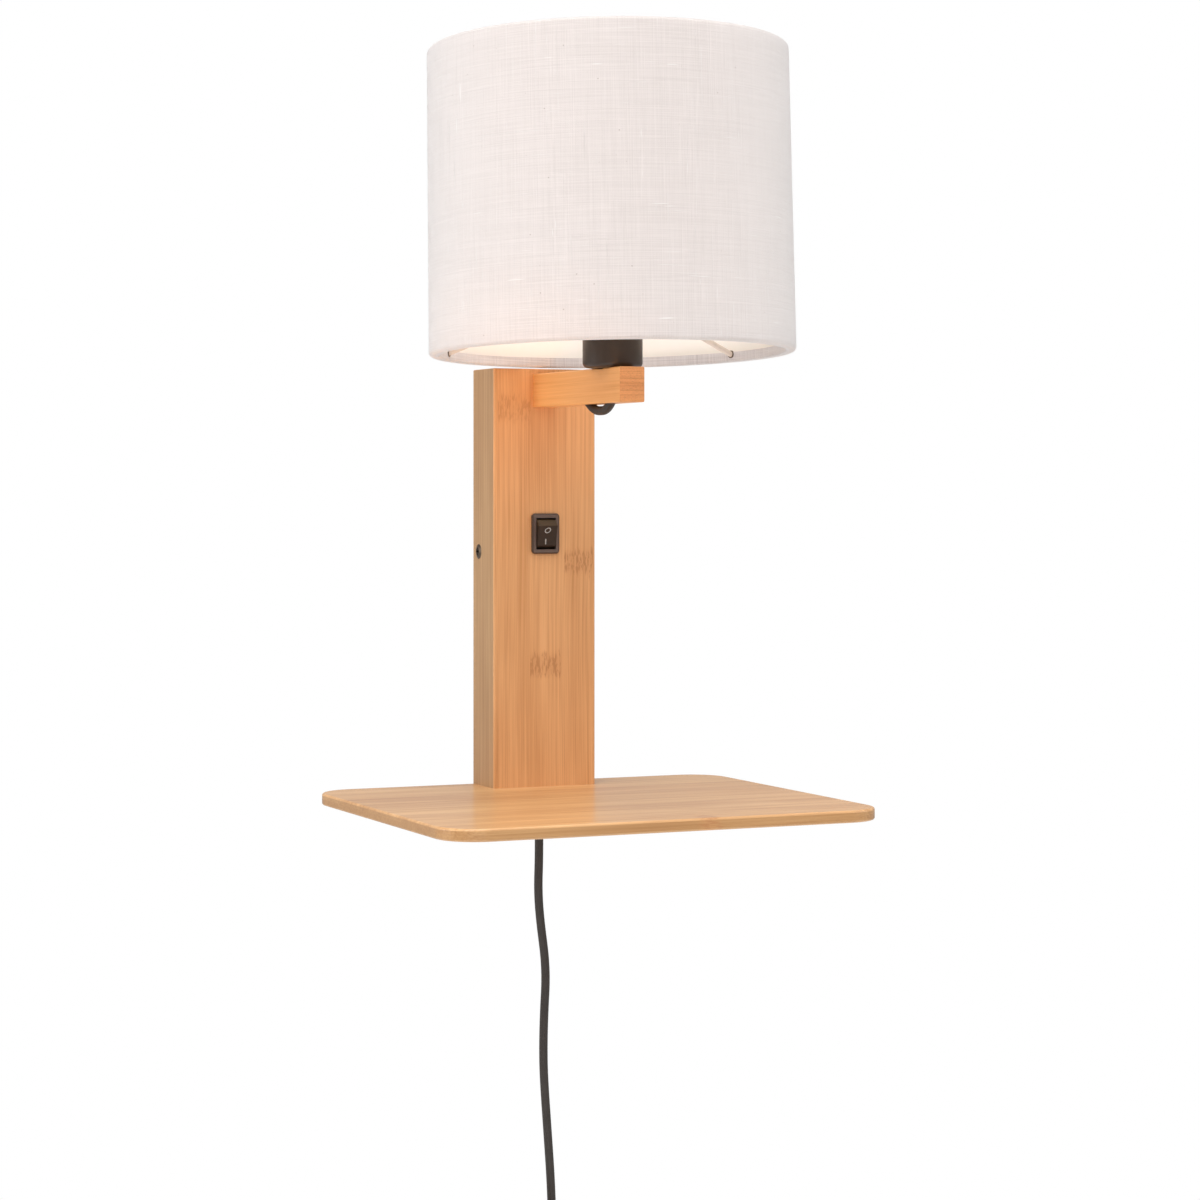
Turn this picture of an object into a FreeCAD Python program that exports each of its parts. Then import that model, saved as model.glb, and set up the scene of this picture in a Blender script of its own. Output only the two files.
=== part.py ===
import FreeCAD, Part
import math
import os

# Wall lamp with shelf. Millimetres, +Z up, +X to the right seen from the room, +Y into the wall.
# The wall is the plane y = 0, and z = 0 is halfway between the two wall screws.

Vector = FreeCAD.Vector
AXIS_X = Vector(1, 0, 0)
AXIS_Y = Vector(0, 1, 0)
AXIS_Z = Vector(0, 0, 1)

# ---- driving sizes ------------------------------------------------------------------------

# general clearances
slide_gap = 0.3            # loose fit between neighbouring pieces
seat_gap = 0.1             # snug fit of a piece in its seat
thread_gap = 0.05          # screw thread in its hole, and lead in its bore

# post, of laminated bamboo, hollowed from the back
post_width = 57.0
post_depth = 29.0
post_top = 94.4
post_bottom = -121.1
post_edge_radius = 1.2
cavity_width = 41.0
cavity_depth = 20.0
cavity_top = 92.0
post_base_wall = 12.0

# shelf
shelf_width = 226.0
shelf_depth = 195.4
shelf_thickness = 6.0
shelf_shift = -3.8
shelf_corner_radius = 20.0
shelf_edge_radius = 1.2
shelf_screw_spacing = 49.0
shelf_screw_depth = 14.5
shelf_screw_length = 25.0
shelf_screw_radius = 1.75
shelf_screw_head_radius = 3.6
shelf_screw_head_height = 2.2

# arm
arm_width = 13.2
arm_height = 17.2
arm_top = 91.65
arm_end = -136.8
arm_edge_radius = 0.8
arm_screw_spacing = 11.8
arm_screw_radius = 1.4
arm_screw_head_radius = 2.7
arm_screw_head_height = 1.8
arm_screw_length = 26.0
arm_sink_radius = 7.8
arm_sink_depth = 1.8

# wall bracket
bracket_width = 40.0
bracket_height = 68.0
bracket_thickness = 1.5
bracket_flange_depth = 14.0
bracket_flange_height = 24.0
bracket_flange_thickness = 2.0
bracket_corner_radius = 3.0
wall_screw_spacing = 52.0
wall_screw_hole_radius = 2.5
side_screw_setback = 8.3
side_screw_radius = 2.0
side_screw_head_radius = 3.8
side_screw_head_height = 2.0
side_screw_crown = 0.6
side_screw_length = 14.0
side_screw_slot_length = 4.2
side_screw_slot_width = 0.9
side_screw_slot_depth = 1.0

# rocker switch
switch_height_above_screws = 9.4
switch_bezel_width = 15.2
switch_bezel_height = 20.8
switch_bezel_thickness = 1.8
switch_bezel_radius = 1.8
switch_bezel_bevel = 0.6
switch_body_width = 12.8
switch_body_height = 18.8
switch_floor_depth = 11.0
switch_floor_thickness = 1.4
switch_mouth_width = 11.0
switch_mouth_height = 16.2
switch_panel_thickness = 2.5
switch_pocket_width = 26.0
switch_pocket_height = 30.0
switch_wing_height = 6.0
switch_wing_reach = 0.7
rocker_width = 10.4
rocker_pivot_depth = 1.5
rocker_end_radius = 7.7
rocker_ridge_height = 5.2
rocker_ridge_reach = 3.9
rocker_dish = 0.5
rocker_shoulder = 2.4
rocker_back_depth = 3.4
rocker_wall = 0.9
rocker_roof = 1.6
rocker_pin_radius = 1.2
rocker_pin_inset = 0.25
rocker_swing = 22.0
plunger_radius = 1.1
plunger_tip_reach = 5.4
plunger_length = 3.6
plunger_sleeve_radius = 1.9
plunger_sleeve_depth = 4.6
plunger_bore_top = -0.6
spring_wire_radius = 0.2
spring_turns = 4
contact_bar_depth = 7.7
contact_bar_thickness = 0.6
contact_bar_length = 10.4
contact_bar_width = 3.4
contact_bar_pin_radius = 0.5
contact_bar_swing = 16.0
contact_ear_thickness = 0.6
contact_ear_height = 3.2
contact_button_radius = 1.1
contact_button_height = 0.5
contact_button_place = 4.4
contact_fixed_depth = 9.6
terminal_plate_depth = 10.4
blade_width = 4.8
blade_thickness = 0.8
blade_end_depth = 19.5
blade_spacing = 5.6
connector_width = 6.4
connector_height = 3.4
connector_length = 7.8

# leads
lead_radius = 2.25
core_radius = 0.95
core_spacing = 2.2
core_bend = 2.6
cord_exit_x = 3.1
cord_exit_y = -14.0
sheath_end_above_base = 16.0
lead_loop_drop = 3.3           # lead below the arm, at the lowest point of its loop
lead_loop_rear = 21.15         # corners of the loop, from the lampholder's axis
lead_loop_front = 7.85
core_straight = 6.0            # cores leave the terminal block this far before they turn
core_insertion = 7.4           # and reach this far into it
core_fan_height = 16.0         # above the block, where the cores have spread to their sides
core_side_run = 11.0           # beside the switch
core_outer_run = 14.0          # neutral core, outside the live one
core_front_run = -17.0         # in front of the blades' connectors
core_turn_run = -13.0
core_back_run = -8.6           # the pair on its way up to the arm
core_crossed = -6.0            # neutral core once it has crossed over
core_cross_low = 36.0
core_cross_high = 52.0
switched_turn_low = 58.0
neutral_turn_low = 62.0
switched_turn_high = 70.0
neutral_turn_high = 72.0

# cord grip inside the post
grip_above_base = 5.6
grip_height = 7.0
grip_width = 21.0
grip_plate = 3.4
grip_screw_spacing = 14.0
grip_screw_radius = 1.3
grip_screw_head_radius = 2.4
grip_screw_head_height = 1.5
grip_screw_length = 15.5

# terminal block
block_bottom = -80.0
block_height = 18.0
block_width = 20.0
block_depth = 12.0
block_pole_spacing = 10.0
block_pole_radius = 2.6
block_insert_radius = 2.5
block_bore_radius = 1.4
block_screw_radius = 1.2
block_screw_length = 4.6
block_screw_spacing = 10.0
block_fixing_radius = 1.5
block_fixing_head_radius = 2.6
block_fixing_head_height = 1.6
block_fixing_length = 14.6
block_fixing_sink = 2.4

# lampholder, on the axis of the shade
holder_axis_y = -113.7
holder_radius = 14.75
holder_cap_height = 22.0
holder_cap_wall = 1.55
holder_cap_floor = 3.0
holder_cap_edge_radius = 2.6
holder_neck_radius = 6.2
holder_neck_height = 7.0
holder_skirt_length = 8.0
holder_collar_height = 1.8
holder_thread_radius = 13.9
holder_thread_length = 25.6
holder_mouth_radius = 12.3
holder_mouth_depth = 10.0
holder_socket_radius = 7.15
holder_socket_length = 12.0
holder_core_radius = 12.2
holder_core_height = 9.0
holder_terminal_spacing = 12.0
holder_terminal_bore = 1.2
holder_terminal_depth = 6.0
holder_screw_offset = 5.0
holder_screw_radius = 1.3
holder_screw_head_radius = 2.3
holder_screw_head_height = 1.4
holder_screw_length = 6.0
contact_strip_thickness = 0.5
contact_strip_width = 4.0
nipple_radius = 4.0
nipple_bore_radius = 2.6
nipple_bottom_above_arm = 6.4
nipple_top_above_holder_base = 6.8

# bulb
bulb_radius = 22.5
bulb_length = 78.0
bulb_wall = 1.0
bulb_neck_radius = 8.2
bulb_base_radius = 6.85
bulb_base_length = 16.0
bulb_foot_height = 2.6
bulb_tip_radius = 2.4
bulb_tip_height = 0.9

# shade
shade_bottom = 98.4
shade_height = 150.0
shade_bottom_radius = 90.0
shade_top_radius = 88.9
shade_tilt = 2.2
shade_fabric_thickness = 0.7
shade_liner_thickness = 0.5
shade_liner_gap = 0.2
shade_hem_height = 5.0
shade_hem_width = 4.7
shade_wire_radius = 1.4
shade_notch_reach = 2.0
shade_notch_overrun = 6.0
spider_hub_above_rim = 26.0
spider_hub_radius = 23.0
spider_hub_bore = 14.3
spider_hub_thickness = 1.2
spider_spoke_start = 21.8
spider_first_spoke = 70.0
spider_spoke_count = 3
shade_ring_radius = 20.5
shade_ring_height = 5.0
shade_ring_grooves = 24
shade_ring_groove_radius = 0.9

# strain relief below the shelf
gland_length = 20.0
gland_root_radius = 4.7
gland_tip_radius = 3.0
gland_collar_radius = 6.5
gland_collar_height = 1.6
gland_shank_radius = 3.6
gland_shank_length = 13.0

# mains cord: the free stretch from the strain relief down to the coil, points chosen by hand
cord_route = [
    (3.1, -14.0, -148.7),
    (3.1, -14.0, -160.5),
    (2.9, -13.1, -176.0),
    (4.5, -11.8, -192.0),
    (9.0, -10.0, -218.5),
    (8.3, -8.2, -244.0),
    (8.4, -7.1, -264.0),
    (9.3, -6.3, -279.5),
    (11.9, -5.0, -307.0),
    (14.0, -4.1, -331.0),
    (15.0, -3.6, -352.5),
    (15.0, -3.6, -373.5),
]

# coil of the spare length: flat spirals stacked away from the wall
coil_outer = 31.2
coil_inner = 18.8
coil_turns_per_layer = 2.5
coil_layers = 4
coil_pitch = 4.96
coil_lead_in = 4.5
tie_width = 4.0
tie_thickness = 0.8
tie_corner_radius = 2.4

# plug
relief_length = 22.0
relief_start_radius = 2.6
relief_end_radius = 4.6
plug_length = 35.0
plug_tail_width = 13.0
plug_front_width = 35.3
plug_thickness = 13.7
plug_shoulder = 20.0
plug_edge_radius = 2.5
plug_pin_radius = 2.0
plug_pin_length = 19.0
plug_pin_spacing = 19.0
plug_pin_tip = 1.2

# ---- places worked out from the driving sizes ------------------------------------------------

post_front = -post_depth
cavity_front = -cavity_depth
cavity_bottom = post_bottom + post_base_wall
shelf_top = post_bottom
shelf_bottom = shelf_top - shelf_thickness
arm_bottom = arm_top - arm_height
arm_middle = arm_top - arm_height / 2
switch_z = switch_height_above_screws
blade_places = (0.0, blade_spacing)
sheath_end = post_bottom + post_base_wall + sheath_end_above_base
holder_base = arm_top
holder_cap_top = holder_base + holder_cap_height
holder_thread_base = holder_cap_top + holder_collar_height
holder_top = holder_thread_base + holder_thread_length
holder_socket_top = holder_top - holder_mouth_depth
holder_socket_bottom = holder_socket_top - holder_socket_length
holder_core_top = holder_socket_bottom - contact_strip_thickness - slide_gap
holder_core_bottom = holder_core_top - holder_core_height
shade_top = shade_bottom + shade_height
spider_hub_bottom = shade_bottom + spider_hub_above_rim - spider_hub_thickness / 2
spider_hub_top = spider_hub_bottom + spider_hub_thickness
bottom_ring_radius = (shade_bottom_radius - shade_fabric_thickness - shade_liner_gap
                      - shade_liner_thickness - seat_gap - shade_wire_radius)
top_ring_radius = (shade_top_radius - shade_fabric_thickness - shade_liner_gap
                   - shade_liner_thickness - seat_gap - shade_wire_radius)
ring_inset = shade_fabric_thickness + seat_gap + shade_wire_radius
cord_radius = lead_radius
gland_top = shelf_bottom
gland_tip = gland_top - gland_collar_height - gland_length


# ---- small building functions ---------------------------------------------------------------

def block(x_low, x_high, y_low, y_high, z_low, z_high):
    return Part.makeBox(x_high - x_low, y_high - y_low, z_high - z_low, Vector(x_low, y_low, z_low))


def rod(x, y, z, direction, radius, length):
    return Part.makeCylinder(radius, length, Vector(x, y, z), direction)


def cone(x, y, z, direction, radius_start, radius_end, length):
    return Part.makeCone(radius_start, radius_end, length, Vector(x, y, z), direction)


def pipe(x, y, z, direction, radius, bore, length):
    return rod(x, y, z, direction, radius, length).cut(rod(x, y, z, direction, bore, length))


def edges_along(shape, direction):
    found = []
    for edge in shape.Edges:
        if len(edge.Vertexes) == 2 and edge.Curve.TypeId == "Part::GeomLine":
            run = edge.Vertexes[1].Point.sub(edge.Vertexes[0].Point)
            if run.cross(direction).Length < 1e-6 * run.Length:
                found.append(edge)
    return found


def face_edges(shape, axis, place):
    found = []
    for edge in shape.Edges:
        box = edge.BoundBox
        low = {"x": box.XMin, "y": box.YMin, "z": box.ZMin}[axis]
        high = {"x": box.XMax, "y": box.YMax, "z": box.ZMax}[axis]
        if abs(low - place) < 1e-4 and abs(high - place) < 1e-4:
            found.append(edge)
    return found


def extrude_profile(points, direction):
    loop = Part.makePolygon([Vector(*point) for point in points] + [Vector(*points[0])])
    return Part.Face(loop).extrude(direction)


def spin(points, x, y):
    # turns a profile of (radius, z) points about the vertical axis through x, y
    loop = [Vector(x + radius, y, z) for radius, z in points]
    face = Part.Face(Part.makePolygon(loop + [loop[0]]))
    return face.revolve(Vector(x, y, 0), AXIS_Z, 360)


def turn_between(before, corner, after):
    return before.sub(corner).negative().getAngle(after.sub(corner))


def largest_radius(before, corner, after):
    shorter = min(before.distanceToPoint(corner), corner.distanceToPoint(after))
    return 0.45 * shorter / math.tan(turn_between(before, corner, after) / 2)


def rounded_path(points, wanted_radius=None):
    # straight runs joined by tangent arcs, each as large as asked for or as its runs allow
    corners = [Vector(*point) for point in points]
    edges = []
    radii = []
    start = corners[0]
    for before, corner, after in zip(corners, corners[1:], corners[2:]):
        radius = largest_radius(before, corner, after)
        if wanted_radius:
            radius = min(radius, wanted_radius)
        half_turn = turn_between(before, corner, after) / 2
        setback = radius * math.tan(half_turn)
        back = before.sub(corner).normalize()
        ahead = after.sub(corner).normalize()
        arc_start = corner.add(back * setback)
        arc_end = corner.add(ahead * setback)
        inward = back.add(ahead).normalize()
        arc_middle = corner.add(inward * (radius / math.cos(half_turn) - radius))
        edges.append(Part.LineSegment(start, arc_start).toShape())
        edges.append(Part.Arc(arc_start, arc_middle, arc_end).toShape())
        radii.append(radius)
        start = arc_end
    edges.append(Part.LineSegment(start, corners[-1]).toShape())
    return Part.Wire(edges), radii


def tube_on(path, radius):
    first = path.Edges[0]
    start = first.valueAt(first.FirstParameter)
    heading = first.tangentAt(first.FirstParameter)
    section = Part.Wire(Part.makeCircle(radius, start, heading))
    return path.makePipeShell([section], True, False)


def tube(points, radius, wanted_radius=None):
    path, radii = rounded_path(points, wanted_radius)
    return tube_on(path, radius)


def report_tube(name, path, shape, radius):
    expected = math.pi * radius ** 2 * path.Length
    print("%s: length %.1f, volume over section x length %.4f, valid %s"
          % (name, path.Length, shape.Volume / expected, shape.isValid()))


def save(name, pieces):
    shape = pieces[0] if len(pieces) == 1 else Part.makeCompound(pieces)
    shape.exportStep("parts/" + name + ".step")
    print("%s: %d solids, valid %s, volume %.1f" % (name, len(shape.Solids), shape.isValid(), shape.Volume))


# ---- post, shelf and arm -----------------------------------------------------------------------

def screw_places_on_shelf():
    return [(side * shelf_screw_spacing / 2, -shelf_screw_depth) for side in (-1, 1)]


def arm_screw_heights():
    return [arm_middle + side * arm_screw_spacing / 2 for side in (-1, 1)]


def make_post():
    half = post_width / 2
    post = block(-half, half, post_front, 0, post_bottom, post_top)
    post = post.makeFillet(post_edge_radius, edges_along(post, AXIS_Z))
    post = post.makeFillet(post_edge_radius / 2, face_edges(post, "z", post_top))
    half_cavity = cavity_width / 2
    cavity = block(-half_cavity, half_cavity, cavity_front, 1, cavity_bottom, cavity_top)
    cavity = cavity.makeFillet(4.0, edges_along(cavity, AXIS_Y))
    post = post.cut(cavity)
    half_pocket = switch_pocket_width / 2
    pocket_low = switch_z - switch_pocket_height / 2
    pocket_high = switch_z + switch_pocket_height / 2
    pocket = block(-half_pocket, half_pocket, post_front + switch_panel_thickness,
                   cavity_front + 1, pocket_low, pocket_high)
    post = post.cut(pocket.makeFillet(3.0, edges_along(pocket, AXIS_Y)))
    half_hole = switch_body_width / 2 + seat_gap
    half_hole_height = switch_body_height / 2 + seat_gap
    post = post.cut(block(-half_hole, half_hole, post_front - 1, cavity_front,
                          switch_z - half_hole_height, switch_z + half_hole_height))
    wall = half - half_cavity
    for side in (-1, 1):
        hole = rod(side * half, -side_screw_setback, 0, AXIS_X * -side,
                   side_screw_radius + slide_gap, wall + 1)
        sink = cone(side * half, -side_screw_setback, 0, AXIS_X * -side,
                    side_screw_head_radius + seat_gap, side_screw_radius + slide_gap,
                    side_screw_head_height)
        post = post.cut(hole).cut(sink)
    front_wall = post_depth - cavity_depth
    post = post.cut(rod(0, cavity_front, arm_middle, AXIS_Y * -1, lead_radius + slide_gap, front_wall))
    for height in arm_screw_heights():
        post = post.cut(rod(0, cavity_front, height, AXIS_Y * -1, arm_screw_radius + thread_gap, front_wall))
    for x, y in screw_places_on_shelf():
        depth = shelf_screw_length - shelf_thickness + slide_gap
        post = post.cut(rod(x, y, post_bottom, AXIS_Z, shelf_screw_radius + thread_gap, depth))
    shank_depth = gland_shank_length - shelf_thickness + slide_gap
    post = post.cut(rod(cord_exit_x, cord_exit_y, post_bottom, AXIS_Z,
                        gland_shank_radius + seat_gap, shank_depth))
    post = post.cut(rod(cord_exit_x, cord_exit_y, post_bottom, AXIS_Z,
                        lead_radius + slide_gap, post_base_wall + 1))
    for x, z, radius, depth in inner_screw_holes():
        post = post.cut(rod(x, cavity_front, z, AXIS_Y * -1, radius + thread_gap, depth))
    return post


def make_shelf():
    low = shelf_shift - shelf_width / 2
    high = shelf_shift + shelf_width / 2
    shelf = block(low, high, -shelf_depth, 0, shelf_bottom, shelf_top)
    shelf = shelf.makeFillet(shelf_corner_radius, edges_along(shelf, AXIS_Z))
    rims = face_edges(shelf, "z", shelf_top) + face_edges(shelf, "z", shelf_bottom)
    shelf = shelf.makeFillet(min(shelf_edge_radius, 0.45 * shelf_thickness), rims)
    for x, y in screw_places_on_shelf():
        shelf = shelf.cut(rod(x, y, shelf_bottom, AXIS_Z, shelf_screw_radius + thread_gap, shelf_thickness))
        shelf = shelf.cut(cone(x, y, shelf_bottom, AXIS_Z, shelf_screw_head_radius + seat_gap,
                               shelf_screw_radius, shelf_screw_head_height + seat_gap))
    return shelf.cut(rod(cord_exit_x, cord_exit_y, shelf_bottom, AXIS_Z,
                         gland_shank_radius + seat_gap, shelf_thickness))


def arm_lead_points():
    # out of the post along the arm, down in a shallow loop and up through the nipple
    slope = math.tan(math.radians(30))
    loop_bottom = arm_bottom - lead_loop_drop
    rear_corner = holder_axis_y + lead_loop_rear
    front_corner = holder_axis_y + lead_loop_front
    bend_down = rear_corner + (arm_middle - loop_bottom) / slope
    bend_up = loop_bottom + (front_corner - holder_axis_y) * slope
    return [
        (0, cavity_front + 4.0, arm_middle),
        (0, bend_down, arm_middle),
        (0, rear_corner, loop_bottom),
        (0, front_corner, loop_bottom),
        (0, holder_axis_y, bend_up),
        (0, holder_axis_y, holder_base + nipple_top_above_holder_base + 1.6),
    ]


def make_arm():
    half = arm_width / 2
    arm = block(-half, half, arm_end, post_front, arm_bottom, arm_top)
    long_edges = edges_along(arm, AXIS_Y)
    arm = arm.makeFillet(arm_edge_radius, long_edges)
    arm = arm.makeFillet(arm_edge_radius / 2, face_edges(arm, "y", arm_end))
    channel_path, radii = rounded_path(arm_lead_points())
    arm = arm.cut(tube_on(channel_path, lead_radius + slide_gap))
    nipple_bottom = arm_bottom + nipple_bottom_above_arm
    arm = arm.cut(rod(0, holder_axis_y, nipple_bottom, AXIS_Z, nipple_radius + thread_gap, arm_height))
    arm = arm.cut(rod(0, holder_axis_y, arm_bottom - 1, AXIS_Z,
                      nipple_bore_radius + slide_gap, arm_height))
    arm = arm.cut(cone(0, holder_axis_y, arm_top, AXIS_Z * -1, arm_sink_radius,
                       nipple_radius + seat_gap, arm_sink_depth))
    screw_depth = arm_screw_length - (post_depth - cavity_depth) + slide_gap
    for height in arm_screw_heights():
        arm = arm.cut(rod(0, post_front, height, AXIS_Y * -1, arm_screw_radius + thread_gap, screw_depth))
    return arm


def countersunk_screw(x, y, z, direction, radius, head_radius, head_height, length):
    head = cone(x, y, z, direction, head_radius, radius, head_height)
    return head.fuse(rod(x, y, z, direction, radius, length))


def flat_head_screw(x, y, z, direction, radius, head_radius, head_height, length):
    # the head stands behind x, y, z and the shank runs along direction
    shank = rod(x, y, z, direction, radius, length)
    head = rod(x, y, z, direction * -1, head_radius, head_height)
    return shank.fuse(head)


def make_shelf_screws():
    return [countersunk_screw(x, y, shelf_bottom, AXIS_Z, shelf_screw_radius, shelf_screw_head_radius,
                              shelf_screw_head_height, shelf_screw_length)
            for x, y in screw_places_on_shelf()]


def make_arm_screws():
    return [flat_head_screw(0, cavity_front, height, AXIS_Y * -1, arm_screw_radius, arm_screw_head_radius,
                            arm_screw_head_height, arm_screw_length)
            for height in arm_screw_heights()]


# ---- wall bracket --------------------------------------------------------------------------------

def make_wall_bracket():
    half = bracket_width / 2
    plate = block(-half, half, -bracket_thickness, 0, -bracket_height / 2, bracket_height / 2)
    plate = plate.makeFillet(bracket_corner_radius, edges_along(plate, AXIS_Y))
    for side in (-1, 1):
        inner = side * (half - bracket_flange_thickness)
        outer = side * half
        flange = block(min(inner, outer), max(inner, outer), -bracket_flange_depth, 0,
                       -bracket_flange_height / 2, bracket_flange_height / 2)
        plate = plate.fuse(flange)
    plate = plate.removeSplitter()
    front_corners = [edge for edge in edges_along(plate, AXIS_X)
                     if abs(edge.BoundBox.YMin + bracket_flange_depth) < 1e-4]
    plate = plate.makeFillet(bracket_corner_radius, front_corners)
    for side in (-1, 1):
        plate = plate.cut(rod(0, 1, side * wall_screw_spacing / 2, AXIS_Y * -1,
                              wall_screw_hole_radius, bracket_thickness + 2))
    return plate.cut(rod(-half - 1, -side_screw_setback, 0, AXIS_X,
                         side_screw_radius + thread_gap, bracket_width + 2))


def make_side_screws():
    screws = []
    for side in (-1, 1):
        face = side * post_width / 2
        inward = AXIS_X * -side
        screw = countersunk_screw(face, -side_screw_setback, 0, inward, side_screw_radius,
                                  side_screw_head_radius, side_screw_head_height, side_screw_length)
        crown = cone(face, -side_screw_setback, 0, inward * -1, side_screw_head_radius,
                     side_screw_head_radius * 0.55, side_screw_crown)
        screw = screw.fuse(crown)
        half_length = side_screw_slot_length / 2
        half_width = side_screw_slot_width / 2
        outside = face + side * (side_screw_crown + 1)
        bottom = face - side * (side_screw_slot_depth - side_screw_crown)
        low, high = min(outside, bottom), max(outside, bottom)
        middle = -side_screw_setback
        screw = screw.cut(block(low, high, middle - half_width, middle + half_width,
                                -half_length, half_length))
        screw = screw.cut(block(low, high, middle - half_length, middle + half_length,
                                -half_width, half_width))
        screws.append(screw)
    return screws


# ---- rocker switch, in places counted from the post's front face ------------------------------------

def in_switch(depth):
    return post_front + depth


def switch_block(x_half, depth_low, depth_high, z_low, z_high):
    return block(-x_half, x_half, in_switch(depth_low), in_switch(depth_high),
                 switch_z + z_low, switch_z + z_high)


def make_switch_housing():
    bezel = switch_block(switch_bezel_width / 2, -switch_bezel_thickness, 0,
                         -switch_bezel_height / 2, switch_bezel_height / 2)
    bezel = bezel.makeFillet(switch_bezel_radius, edges_along(bezel, AXIS_Y))
    front = face_edges(bezel, "y", in_switch(-switch_bezel_thickness))
    bezel = bezel.makeChamfer(switch_bezel_bevel, front)
    body = switch_block(switch_body_width / 2, 0, switch_floor_depth + switch_floor_thickness,
                        -switch_body_height / 2, switch_body_height / 2)
    housing = bezel.fuse(body)
    for side in (-1, 1):
        root = side * (switch_body_width / 2 - 0.2)
        reach = side * (switch_body_width / 2 + seat_gap + switch_wing_reach)
        wing_start = in_switch(switch_panel_thickness + seat_gap)
        wing_low = switch_z - switch_wing_height / 2
        wing = extrude_profile([(root, wing_start, wing_low), (reach, wing_start, wing_low),
                                (root, wing_start + 5.0, wing_low)], AXIS_Z * switch_wing_height)
        housing = housing.fuse(wing)
    housing = housing.removeSplitter()
    mouth = switch_block(switch_mouth_width / 2, -switch_bezel_thickness - 1, switch_floor_depth,
                         -switch_mouth_height / 2, switch_mouth_height / 2)
    housing = housing.cut(mouth)
    for place in blade_places:
        housing = housing.cut(switch_block(blade_width / 2, switch_floor_depth - 1,
                                           switch_floor_depth + switch_floor_thickness + 1,
                                           place - blade_thickness / 2, place + blade_thickness / 2))
    pin_hole = rod(-switch_body_width, in_switch(rocker_pivot_depth), switch_z, AXIS_X,
                   rocker_pin_radius + thread_gap, 2 * switch_body_width)
    return housing.cut(pin_hole)


def rocker_profile():
    # half-circle-like ends about the pivot, sloping shoulders and a shallow dished face
    shoulder_z = math.sqrt(rocker_end_radius ** 2 - rocker_shoulder ** 2)
    back = rocker_back_depth - rocker_pivot_depth
    back_z = math.sqrt(rocker_end_radius ** 2 - back ** 2)

    def at(depth, z):
        return Vector(-rocker_width / 2, in_switch(rocker_pivot_depth + depth), switch_z + z)

    ridge = -rocker_ridge_reach - rocker_pivot_depth
    edges = [
        Part.LineSegment(at(-rocker_shoulder, shoulder_z), at(ridge, rocker_ridge_height)).toShape(),
        Part.Arc(at(ridge, rocker_ridge_height), at(ridge + rocker_dish, 0),
                 at(ridge, -rocker_ridge_height)).toShape(),
        Part.LineSegment(at(ridge, -rocker_ridge_height), at(-rocker_shoulder, -shoulder_z)).toShape(),
        Part.Arc(at(-rocker_shoulder, -shoulder_z), at(0, -rocker_end_radius), at(back, -back_z)).toShape(),
        Part.LineSegment(at(back, -back_z), at(back, back_z)).toShape(),
        Part.Arc(at(back, back_z), at(0, rocker_end_radius), at(-rocker_shoulder, shoulder_z)).toShape(),
    ]
    return Part.Face(Part.Wire(edges))


def tilt_rocker(shape):
    # the lower half is pressed in at rest, so the upper half stands out
    return shape.rotated(Vector(0, in_switch(rocker_pivot_depth), switch_z), AXIS_X, rocker_swing / 2)


def make_switch_rocker():
    rocker = rocker_profile().extrude(AXIS_X * rocker_width)
    inner_half = rocker_width / 2 - rocker_wall
    roof = -rocker_ridge_reach + rocker_dish + rocker_roof
    hollow_half = rocker_ridge_height
    rocker = rocker.cut(switch_block(inner_half, roof, rocker_back_depth + 1, -hollow_half, hollow_half))
    sleeve = rod(0, in_switch(roof - 0.2), switch_z, AXIS_Y, plunger_sleeve_radius,
                 plunger_sleeve_depth - roof + 0.2)
    rocker = rocker.fuse(sleeve)
    pin_length = switch_body_width / 2 - rocker_pin_inset
    for side in (-1, 1):
        rocker = rocker.fuse(rod(side * inner_half, in_switch(rocker_pivot_depth), switch_z,
                                 AXIS_X * side, rocker_pin_radius, pin_length - inner_half))
    rocker = rocker.cut(rod(0, in_switch(plunger_bore_top), switch_z, AXIS_Y,
                            plunger_radius + thread_gap, switch_floor_depth))
    return tilt_rocker(rocker.removeSplitter())


def make_switch_plunger():
    tip = rocker_pivot_depth + plunger_tip_reach
    stem = rod(0, in_switch(tip - plunger_length), switch_z, AXIS_Y, plunger_radius,
               plunger_length - plunger_radius)
    ball = Part.makeSphere(plunger_radius, Vector(0, in_switch(tip - plunger_radius), switch_z))
    return tilt_rocker(stem.fuse(ball))


def make_switch_spring():
    tip = rocker_pivot_depth + plunger_tip_reach
    bottom = tip - plunger_length - seat_gap - spring_wire_radius
    top = plunger_bore_top + seat_gap + spring_wire_radius
    height = bottom - top
    helix = Part.makeHelix(height / spring_turns, height, plunger_radius - spring_wire_radius)
    start = helix.Edges[0].valueAt(helix.Edges[0].FirstParameter)
    heading = helix.Edges[0].tangentAt(helix.Edges[0].FirstParameter)
    section = Part.Wire(Part.makeCircle(spring_wire_radius, start, heading))
    spring = Part.Wire(helix.Edges).makePipeShell([section], True, True)
    spring = spring.rotated(Vector(0, 0, 0), AXIS_X, -90)
    spring = spring.translated(Vector(0, in_switch(top), switch_z))
    return tilt_rocker(spring)


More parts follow.
